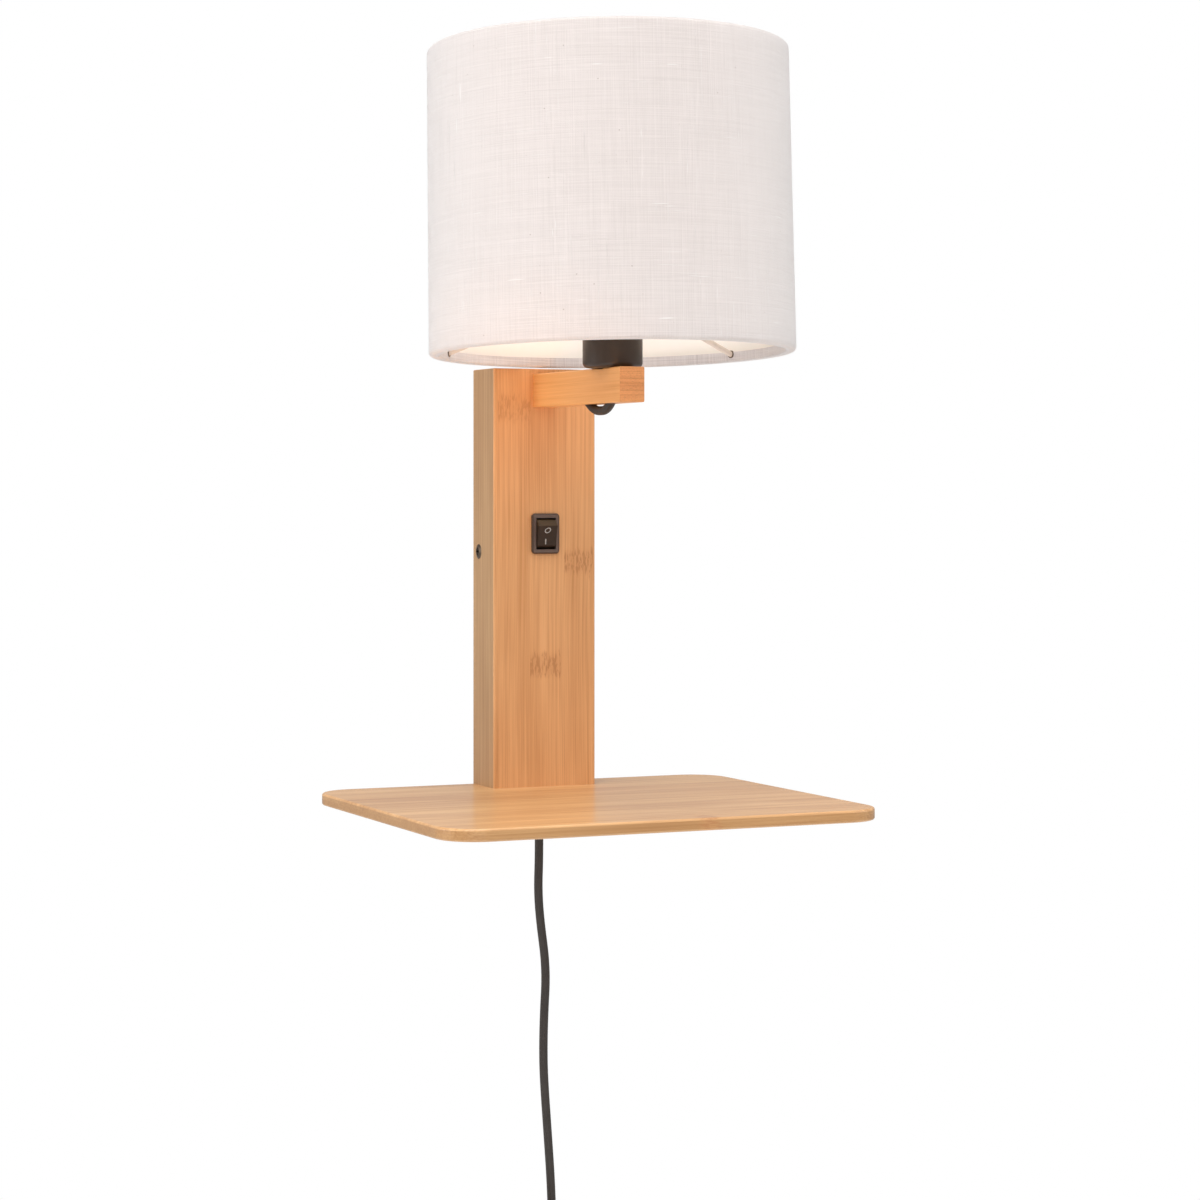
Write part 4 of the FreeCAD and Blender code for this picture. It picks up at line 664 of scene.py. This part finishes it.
nodesOfFinish = {
    "bamboo_post": ["post"],
    "bamboo_shelf": ["shelf"],
    "bamboo_arm": ["arm"],
    "zinc_steel": [
        "shelf_screws", "arm_screws", "wall_bracket", "switch_spring", "grip_screws", "terminal_screws",
        "block_screw", "nipple"],
    "bronze_steel": ["side_screws"],
    "switch_plastic": ["switch_housing"],
    "rocker_plastic": ["switch_rocker"],
    "nylon": [
        "switch_plunger", "switch_connectors", "cord_grip_base", "cord_grip_saddle", "terminal_block"],
    "brass": [
        "switch_contact_bar", "switch_terminals", "terminal_inserts", "lampholder_screws",
        "lampholder_contacts"],
    "cord_sheath": ["mains_lead_end", "arm_lead", "mains_cord", "cord_coil"],
    "supply_insulation": ["supply_cores"],
    "switch_insulation": ["switch_cores"],
    "bakelite": ["lampholder_cap", "lampholder_shell", "bulb_foot", "shade_rings"],
    "ceramic": ["lampholder_core"],
    "holder_insulation": ["lampholder_cores"],
    "opal_glass": ["bulb_glass"],
    "nickel_cap": ["bulb_base", "bulb_tip", "plug_pins"],
    "shade_lining": ["shade_liner"],
    "linen": ["shade_fabric"],
    "cream_wire": ["shade_top_ring", "shade_spider"],
    "gland_rubber": ["cord_gland"],
    "tie_plastic": ["cord_tie"],
    "plug_plastic": ["plug_relief", "plug_body"],
}
for finish, nodeNames in nodesOfFinish.items():
    for nodeName in nodeNames:
        dress(nodes[nodeName], materials[finish])
say("frame dressed")


camera = {
    "place": (-0.59966, -1.43668, 0.0323), "turn": -24.14, "lens": 88.88, "sensor": 36, "shift": -0.0923,
}


def makeCamera():
    pickNone()
    bpy.ops.object.camera_add(location=camera["place"],
                              rotation=(math.radians(90), 0, math.radians(camera["turn"])))
    view = bpy.context.object
    view.data.sensor_width = camera["sensor"]
    view.data.lens = camera["lens"]
    view.data.shift_y = camera["shift"]
    bpy.context.scene.camera = view


mainsCord = {
    "diameter": 0.0045, "length": 1.8,
    # from the strain relief down to the coil
    "route": [(3.1, -14.0, -148.7), (3.1, -14.0, -160.5), (2.9, -13.1, -176.0), (4.5, -11.8, -192.0),
              (9.0, -10.0, -218.5), (8.3, -8.2, -244.0), (8.4, -7.1, -264.0), (9.3, -6.3, -279.5),
              (11.9, -5.0, -307.0), (14.0, -4.1, -331.0), (15.0, -3.6, -352.5), (15.0, -3.6, -373.5)],
    "outer": 31.2, "inner": 18.8, "layers": 4, "turnsPerLayer": 2.5, "pitch": 4.96, "leadIn": 4.5,
    "climbTurns": 0.5, "pointsPerTurn": 16, "order": 3, "lengthSteps": 6, "roundSteps": 4,
}


def coilPlace(turns):
    # flat spirals in and out at a steady rate, climbing a layer in the half turn round each reversal
    cord = mainsCord
    phase = (turns / cord["turnsPerLayer"]) % 2
    inward = phase if phase <= 1 else 2 - phase
    radius = cord["outer"] + (cord["inner"] - cord["outer"]) * inward
    climbed = 0.0
    for reversal in range(1, cord["layers"]):
        share = (turns - reversal * cord["turnsPerLayer"]) / cord["climbTurns"] + 0.5
        share = max(0.0, min(1.0, share))
        climbed += cord["pitch"] * share * share * (3 - 2 * share)
    endX, endY, endZ = cord["route"][-1]
    angle = fullTurn * turns
    return (endX - cord["outer"] + radius * math.cos(angle), endY - climbed,
            endZ - cord["leadIn"] - radius * math.sin(angle))


def makeCord():
    cord = mainsCord
    points = list(cord["route"])
    total = cord["layers"] * cord["turnsPerLayer"]
    steps = int(total * cord["pointsPerTurn"])
    points += [coilPlace(total * step / steps) for step in range(steps + 1)]
    endX, endY, endZ = points[-1]
    points.append((endX, endY, endZ - cord["leadIn"]))
    pickNone()
    bpy.ops.curve.primitive_nurbs_path_add(location=(0, 0, 0))
    curve = named("mainsCord")
    curve.data.splines.clear()
    spline = curve.data.splines.new("NURBS")
    spline.points.add(len(points) - 1)
    for target, place in zip(spline.points, inMetres(points)):
        target.co = (*place, 1)
    spline.order_u = cord["order"]
    spline.use_endpoint_u = True
    spline.resolution_u = cord["lengthSteps"]
    curve.data.dimensions = "3D"
    curve.data.bevel_depth = cord["diameter"] / 2
    curve.data.bevel_resolution = cord["roundSteps"]
    curve.data.use_fill_caps = True
    dress(curve, materials["cord_sheath"])
    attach(curve, "lamp")
    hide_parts("mains_cord", "cord_coil")
    return curve


makeCamera()
cordPiece = makeCord()
say("camera and cord placed")


shade = {
    "axis": (0.0, -0.1137), "bottom": 0.0984, "height": 0.150, "bottomRadius": 0.0900, "topRadius": 0.0889,
    "tilt": 2.2,                        # degrees towards the wall
    "rim": 0.0019, "fold": 0.0010,      # outer and inner round of the cloth over the wire
    "hem": 0.0050, "hemWidth": 0.0054, "thickness": 0.0005,
    "hemMiddle": 0.6,                   # share of the hem's height at its middle ring
    "steps": 160, "wallSteps": 24, "sharp": 50,
    "seamWidth": 0.011, "seamAngle": 90.0, "seamLift": 0.00022, "seamInset": 0.0012, "seamSteps": 8,
    "seamMap": (1.0, 0.015),            # turn and height at which its weave starts, clear of the hem's painted light
}


def quarterTurn(centre, radius, fromAngle, steps=5):
    angles = [fromAngle + math.pi / 2 * step / steps for step in range(steps + 1)]
    return [(centre[0] + radius * math.cos(angle), centre[1] + radius * math.sin(angle)) for angle in angles]


def shadeProfile():
    # from the inner edge of the lower hem, round the lower wire, up the wall and in over the upper wire
    s = shade
    rim, fold, low, high = s["rim"], s["fold"], s["bottom"], s["bottom"] + s["height"]
    outer, inner = s["bottomRadius"], s["bottomRadius"] - s["hemWidth"]
    points = [(inner, low + s["hem"]), (inner, low + s["hemMiddle"] * s["hem"])]
    points += quarterTurn((inner + fold, low + fold), fold, math.pi)
    points.append(((inner + outer) / 2, low))
    points += quarterTurn((outer - rim, low + rim), rim, 1.5 * math.pi)
    for step in range(1, s["wallSteps"]):
        points.append((outer, low + rim + (s["height"] - 2 * rim) * step / s["wallSteps"]))
    points += quarterTurn((outer - rim, high - rim), rim, 0.0)
    points.append(((inner + outer) / 2, high))
    points += quarterTurn((inner + fold, high - fold), fold, 0.5 * math.pi)
    points += [(inner, high - s["hemMiddle"] * s["hem"]), (inner, high - s["hem"])]
    return points


def drumTilt():
    pivot = Vector((shade["axis"][0], shade["axis"][1], shade["bottom"]))
    turn = Matrix.Rotation(math.radians(-shade["tilt"]), 4, "X")
    return Matrix.Translation(pivot) @ turn @ Matrix.Translation(-pivot)


def leanDrum(piece):
    # narrows the wall towards the top rim, then tilts the drum about the middle of its lower rim
    s = shade
    for vert in piece.data.vertices:
        share = (vert.co.z - s["bottom"]) / s["height"]
        narrower = (s["topRadius"] - s["bottomRadius"]) * share
        offset = Vector((vert.co.x - s["axis"][0], vert.co.y - s["axis"][1]))
        reach = offset.length
        offset *= (reach + narrower) / reach
        vert.co.x = s["axis"][0] + offset.x
        vert.co.y = s["axis"][1] + offset.y
    piece.data.transform(drumTilt())


def clothMap(piece, profile, startAngle, startLength=0.0):
    # uv in metres: u round the drum, v along the profile
    middleX, middleY = shade["axis"]
    lengths = [startLength]
    for before, after in zip(profile, profile[1:]):
        lengths.append(lengths[-1] + math.dist(before, after))
    layer = piece.data.uv_layers.new(name="cloth")
    for polygon in piece.data.polygons:
        places = [piece.data.vertices[index].co for index in polygon.vertices]
        angles = [(math.atan2(place.y - middleY, place.x - middleX) - startAngle) % fullTurn
                  for place in places]
        if max(angles) - min(angles) > math.pi:
            angles = [angle + fullTurn if angle < math.pi else angle for angle in angles]
        for loopIndex, place, angle in zip(polygon.loop_indices, places, angles):
            reach = math.hypot(place.x - middleX, place.y - middleY)
            nearest = min(range(len(profile)),
                          key=lambda i: abs(profile[i][0] - reach) + abs(profile[i][1] - place.z))
            layer.data[loopIndex].uv = (angle * shade["bottomRadius"], lengths[nearest])


def makeShade():
    s = shade
    profile = shadeProfile()
    piece = spinProfile("shadeLinen", profile, s["axis"], s["steps"], materials["linen"])
    clothMap(piece, profile, math.radians(s["seamAngle"]))
    leanDrum(piece)
    thicken(piece, s["thickness"], -1)
    smooth(piece, s["sharp"])
    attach(piece, "lamp")
    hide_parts("shade_fabric")
    return piece


def makeSeam():
    # where the cloth laps over itself at the back, next to the wall
    s = shade
    outer = s["bottomRadius"] + s["seamLift"]
    low, high = s["bottom"] + s["seamInset"], s["bottom"] + s["height"] - s["seamInset"]
    profile = [(outer, low + (high - low) * step / s["wallSteps"]) for step in range(s["wallSteps"] + 1)]
    middle, sweep = math.radians(s["seamAngle"]), s["seamWidth"] / s["bottomRadius"]
    piece = spinProfile("shadeSeam", profile, s["axis"], s["seamSteps"], materials["linen"],
                        start=middle - sweep / 2, sweep=sweep)
    clothMap(piece, profile, middle + s["seamMap"][0], s["seamMap"][1])
    leanDrum(piece)
    thicken(piece, s["thickness"], 0)
    smooth(piece, s["sharp"])
    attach(piece, "lamp")
    return piece


wireEnds = {
    "firstAngle": 70.0, "count": 3, "hubRadius": 0.0218, "hubHeight": 0.1244, "ringRadius": 0.0873,
    "ringHeight": 0.1013, "radius": 0.0019, "thickness": 0.0008, "sides": 24, "sharp": 35,
}


def makeWireEnds():
    # a dark disc where each spoke goes through the hem: the spoke's dark cut end, and round the wire a ring
    # of painted shadow for the slit in the cloth
    e, s = wireEnds, shade
    reach = s["bottomRadius"] - s["hemWidth"]
    share = (reach - e["hubRadius"]) / (e["ringRadius"] - e["hubRadius"])
    for number in range(e["count"]):
        angle = math.radians(e["firstAngle"] + 360 / e["count"] * number)
        outward = Vector((math.sin(angle), math.cos(angle), 0))
        middle = Vector((*s["axis"], 0))
        start = middle + outward * e["hubRadius"] + Vector((0, 0, e["hubHeight"]))
        end = drumTilt() @ (middle + outward * e["ringRadius"] + Vector((0, 0, e["ringHeight"])))
        pickNone()
        bpy.ops.mesh.primitive_cylinder_add(vertices=e["sides"], radius=e["radius"], depth=e["thickness"],
                                            location=start.lerp(end, share),
                                            rotation=outward.to_track_quat("Z", "Y").to_euler())
        piece = named("wireEnd%d" % (number + 1))
        settle(piece)
        dress(piece, materials["bronze_steel"])
        smooth(piece, e["sharp"])
        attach(piece, "lamp")


shadePiece = makeShade()
makeWireEnds()
seamPiece = makeSeam()
say("shade cut and stretched")


lampholder = {
    "axis": (0.0, -0.1137), "base": 0.09165, "radius": 0.01475, "edge": 0.0026, "bore": 0.0042,
    "capTop": 0.11365, "capBevel": (0.0003, 0.0004), "capLand": 0.0016, "wall": 0.0012,
    "collar": 0.0018, "bevel": 0.0004, "shellLand": 0.0018, "top": 0.14105,
    "threadRadius": 0.0139, "threadDepth": 0.0007, "pitch": 0.0025, "threadEnd": 0.0006,
    "root": (0.0002, 0.0009), "crest": (0.0014, 0.0021),       # where each lies within one turn
    "mouth": 0.0123, "lip": 0.0003, "mouthFloor": 0.1312, "well": 0.0073, "wellDepth": 0.011,
    "steps": 96, "edgeSteps": 8, "capSharp": 40, "shellSharp": 30,
}


def makeLampholderCap():
    h = lampholder
    radius, top = h["radius"], h["capTop"]
    roundMiddle = (radius - h["edge"], h["base"] + h["edge"])
    profile = [(h["bore"], h["base"])] + quarterTurn(roundMiddle, h["edge"], -math.pi / 2, h["edgeSteps"])
    profile += [(radius, top - h["capBevel"][1]), (radius - h["capBevel"][0], top),
                (radius - h["capLand"], top)]
    piece = spinProfile("lampholderCap", profile, h["axis"], h["steps"], materials["bakelite"])
    thicken(piece, h["wall"], -1)
    smooth(piece, h["capSharp"])
    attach(piece, "lamp")
    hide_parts("lampholder_cap")


def makeLampholderShell():
    h = lampholder
    radius, bevel, low, high = h["radius"], h["bevel"], h["capTop"], h["capTop"] + h["collar"]
    crest, root, top = h["threadRadius"], h["threadRadius"] - h["threadDepth"], h["top"]
    profile = [(radius - h["shellLand"], low), (radius - bevel, low), (radius, low + bevel),
               (radius, high - bevel), (radius - bevel, high)]
    turn = high
    while turn + h["pitch"] < top - h["threadEnd"]:
        profile += [(root, turn + h["root"][0]), (root, turn + h["root"][1]),
                    (crest, turn + h["crest"][0]), (crest, turn + h["crest"][1])]
        turn += h["pitch"]
    profile += [(root, turn + h["root"][0]), (root, top - bevel), (root - bevel, top),
                (h["mouth"] + h["lip"], top), (h["mouth"], top - h["lip"]), (h["mouth"], h["mouthFloor"]),
                (h["well"], h["mouthFloor"]), (h["well"], h["mouthFloor"] - h["wellDepth"])]
    piece = spinProfile("lampholderShell", profile, h["axis"], h["steps"], materials["bakelite"])
    smooth(piece, h["shellSharp"])
    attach(piece, "lamp")
    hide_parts("lampholder_shell")


makeLampholderCap()
makeLampholderShell()
say("lampholder turned")


strainRelief = {
    "axis": (0.0031, -0.0140), "shelfUnder": -0.1271, "shankTop": -0.1141, "shank": 0.0036, "bore": 0.0023,
    "collar": 0.0065, "collarHeight": 0.0016, "root": 0.0047, "tip": 0.0030, "length": 0.020, "bevel": 0.0004,
    "ribs": 6, "firstRib": 0.0014, "ribPitch": 0.0030, "ribHeight": 0.0019, "ribEdge": 0.0001,
    "groove": 0.0007, "grooveEase": 0.0002, "steps": 48, "sharp": 30,
}


def makeStrainRelief():
    # rubber sleeve with flexing ribs, its shank goes up through the shelf
    r = strainRelief
    bevel, ease, under = r["bevel"], r["grooveEase"], r["shelfUnder"]
    taperTop = under - r["collarHeight"]
    tip = taperTop - r["length"]
    profile = [(r["bore"], tip), (r["tip"] - bevel, tip), (r["tip"], tip + bevel)]
    for number in range(r["ribs"]):
        low = tip + r["firstRib"] + r["ribPitch"] * number
        high = low + r["ribPitch"] - r["ribHeight"]
        radius = r["tip"] + (r["root"] - r["tip"]) * (low - tip) / r["length"]
        floor = radius - r["groove"]
        profile += [(radius, low), (floor, low + ease), (floor, high - ease), (radius + r["ribEdge"], high)]
    profile += [(r["root"], taperTop), (r["collar"] - bevel, taperTop), (r["collar"], taperTop + bevel),
                (r["collar"], under), (r["shank"], under), (r["shank"], r["shankTop"]),
                (r["bore"], r["shankTop"]), (r["bore"], tip)]
    piece = spinProfile("strainRelief", profile, r["axis"], r["steps"], materials["gland_rubber"])
    smooth(piece, r["sharp"])
    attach(piece, "lamp")
    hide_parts("cord_gland")
    return piece


reliefPiece = makeStrainRelief()
say("strain relief ribbed")


rockerMarks = {
    "o": {"centre": (0.0, 0.0111), "outer": (0.00180, 0.00134), "ring": 0.00042, "slant": 26, "points": 40},
    "i": {"centre": (-0.0008, 0.0053), "half": (0.00030, 0.00140), "grid": (4, 24)},
    "front": -0.045, "lift": 0.00009,
}


def inFront(mark):
    return (mark["centre"][0], rockerMarks["front"], mark["centre"][1])


def standUp(name, mark, size, slant=0):
    # turns the new flat primitive to face the front, at the mark's size and place
    piece = named(name)
    piece.scale = (*size, 1)
    piece.rotation_euler = (math.radians(90), -math.radians(slant), 0)
    piece.location = inFront(mark)
    settle(piece)
    return piece


def layOnRocker(piece):
    wrap = piece.modifiers.new("lay", "SHRINKWRAP")
    wrap.target = nodes["switch_rocker"]
    wrap.wrap_method = "PROJECT"
    wrap.use_project_y = True
    wrap.use_negative_direction = False
    wrap.use_positive_direction = True
    wrap.offset = rockerMarks["lift"]
    applyAll(piece)
    dress(piece, materials["switch_print"])
    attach(piece, "rocker")


def makeMarks():
    mark = rockerMarks["o"]
    pickNone()
    bpy.ops.mesh.primitive_circle_add(vertices=mark["points"], radius=1, location=(0, 0, 0),
                                      fill_type="NOTHING")
    ring = standUp("markOff", mark, mark["outer"], mark["slant"])
    openMesh(ring)
    bpy.ops.mesh.extrude_edges_move()
    inner = 1 - mark["ring"] / mark["outer"][1]
    bpy.ops.transform.resize(value=(inner, 1, inner), center_override=inFront(mark))
    closeMesh()
    layOnRocker(ring)
    mark = rockerMarks["i"]
    pickNone()
    bpy.ops.mesh.primitive_grid_add(x_subdivisions=mark["grid"][0], y_subdivisions=mark["grid"][1], size=2,
                                    location=(0, 0, 0))
    layOnRocker(standUp("markOn", mark, mark["half"]))


makeMarks()
say("rocker marked")


studio = {
    "surround": 0.44,
    "boxes": [
        {"place": (-1.35, -1.5, 1.6), "aim": (0.0, -0.08, 0.05), "size": 1.2, "power": 28.0},
        {"place": (-2.0, 0.35, 0.5), "aim": (0.0, -0.10, 0.12), "size": 1.6, "power": 17.0},
        {"place": (-0.2, -2.8, 0.8), "aim": (0.0, -0.08, 0.05), "size": 2.0, "power": 1.5},
        {"place": (1.8, -1.2, 0.9), "aim": (0.0, -0.08, 0.05), "size": 1.8, "power": 15.0},
        {"place": (0.1, -0.5, 2.2), "aim": (0.0, -0.10, 0.10), "size": 1.4, "power": 34.0},
        {"place": (-0.5, -1.5, -0.85), "aim": (0.0, -0.11, 0.10), "size": 1.4, "power": 4.0},
    ],
    # the warm light round the arm and the head of the post
    "glow": {"place": (-0.30, -0.95, -0.10), "aim": (-0.035, -0.050, 0.080), "cone": 5.7, "soft": 0.06,
             "power": 26.0, "colour": (1.0, 0.36, 0.0)},
}
floorLook = {
    "height": -1.25, "size": 5.0, "cloudsPerMetre": 3.0, "light": 0.42,
    "colours": ((0.93, 0.93, 0.93, 1), (0.90, 0.90, 0.90, 1)),
}


def aimLight(kind, name, look):
    pickNone()
    bpy.ops.object.light_add(type=kind, location=look["place"])
    lamp = bpy.context.object
    lamp.name = name
    lamp.data.energy = look["power"]
    aim = Vector(look["aim"]) - Vector(look["place"])
    lamp.rotation_euler = aim.to_track_quat("-Z", "Y").to_euler()
    return lamp.data


def whenSeen(w, other):
    # 1 where the camera looks straight at it, the other value for the light it gives
    seen = w.add("ShaderNodeLightPath").outputs["Is Camera Ray"]
    return w.span(seen, 0.0, 1.0, other, 1.0)


def makeWorld():
    world = bpy.data.worlds.new("studioWhite")
    bpy.context.scene.world = world
    world.use_nodes = True
    w = Wiring(world.node_tree)
    background = world.node_tree.nodes["Background"]
    background.inputs["Color"].default_value = (1, 1, 1, 1)
    w.join(whenSeen(w, studio["surround"]), background.inputs["Strength"])


def makeFloor():
    look = floorLook
    pickNone()
    bpy.ops.mesh.primitive_plane_add(size=look["size"], location=(0, 0, look["height"]))
    floor = named("studioFloor")
    settle(floor)
    material, w, shader = newMaterial("pale_floor", {"Roughness": 0.8, "Emission Color": (1, 1, 1, 1)})
    clouds = w.noise(w.scaled(objectPlace(w), (look["cloudsPerMetre"],) * 3), detail=2.0)
    w.join(w.blend(clouds, *look["colours"]), shader.inputs["Base Color"])
    w.join(whenSeen(w, look["light"]), shader.inputs["Emission Strength"])
    dress(floor, material)


def makeStudio():
    bpy.context.scene.view_settings.view_transform = "Standard"
    for number, box in enumerate(studio["boxes"]):
        aimLight("AREA", "softBox%d" % (number + 1), box).size = box["size"]
    glow = studio["glow"]
    beam = aimLight("SPOT", "warmGlow", glow)
    beam.spot_size = math.radians(glow["cone"])
    beam.spot_blend = 1.0
    beam.shadow_soft_size = glow["soft"]
    beam.color = glow["colour"]
    makeWorld()
    makeFloor()


makeStudio()
say("studio lit")

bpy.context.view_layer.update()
say("sizes written")
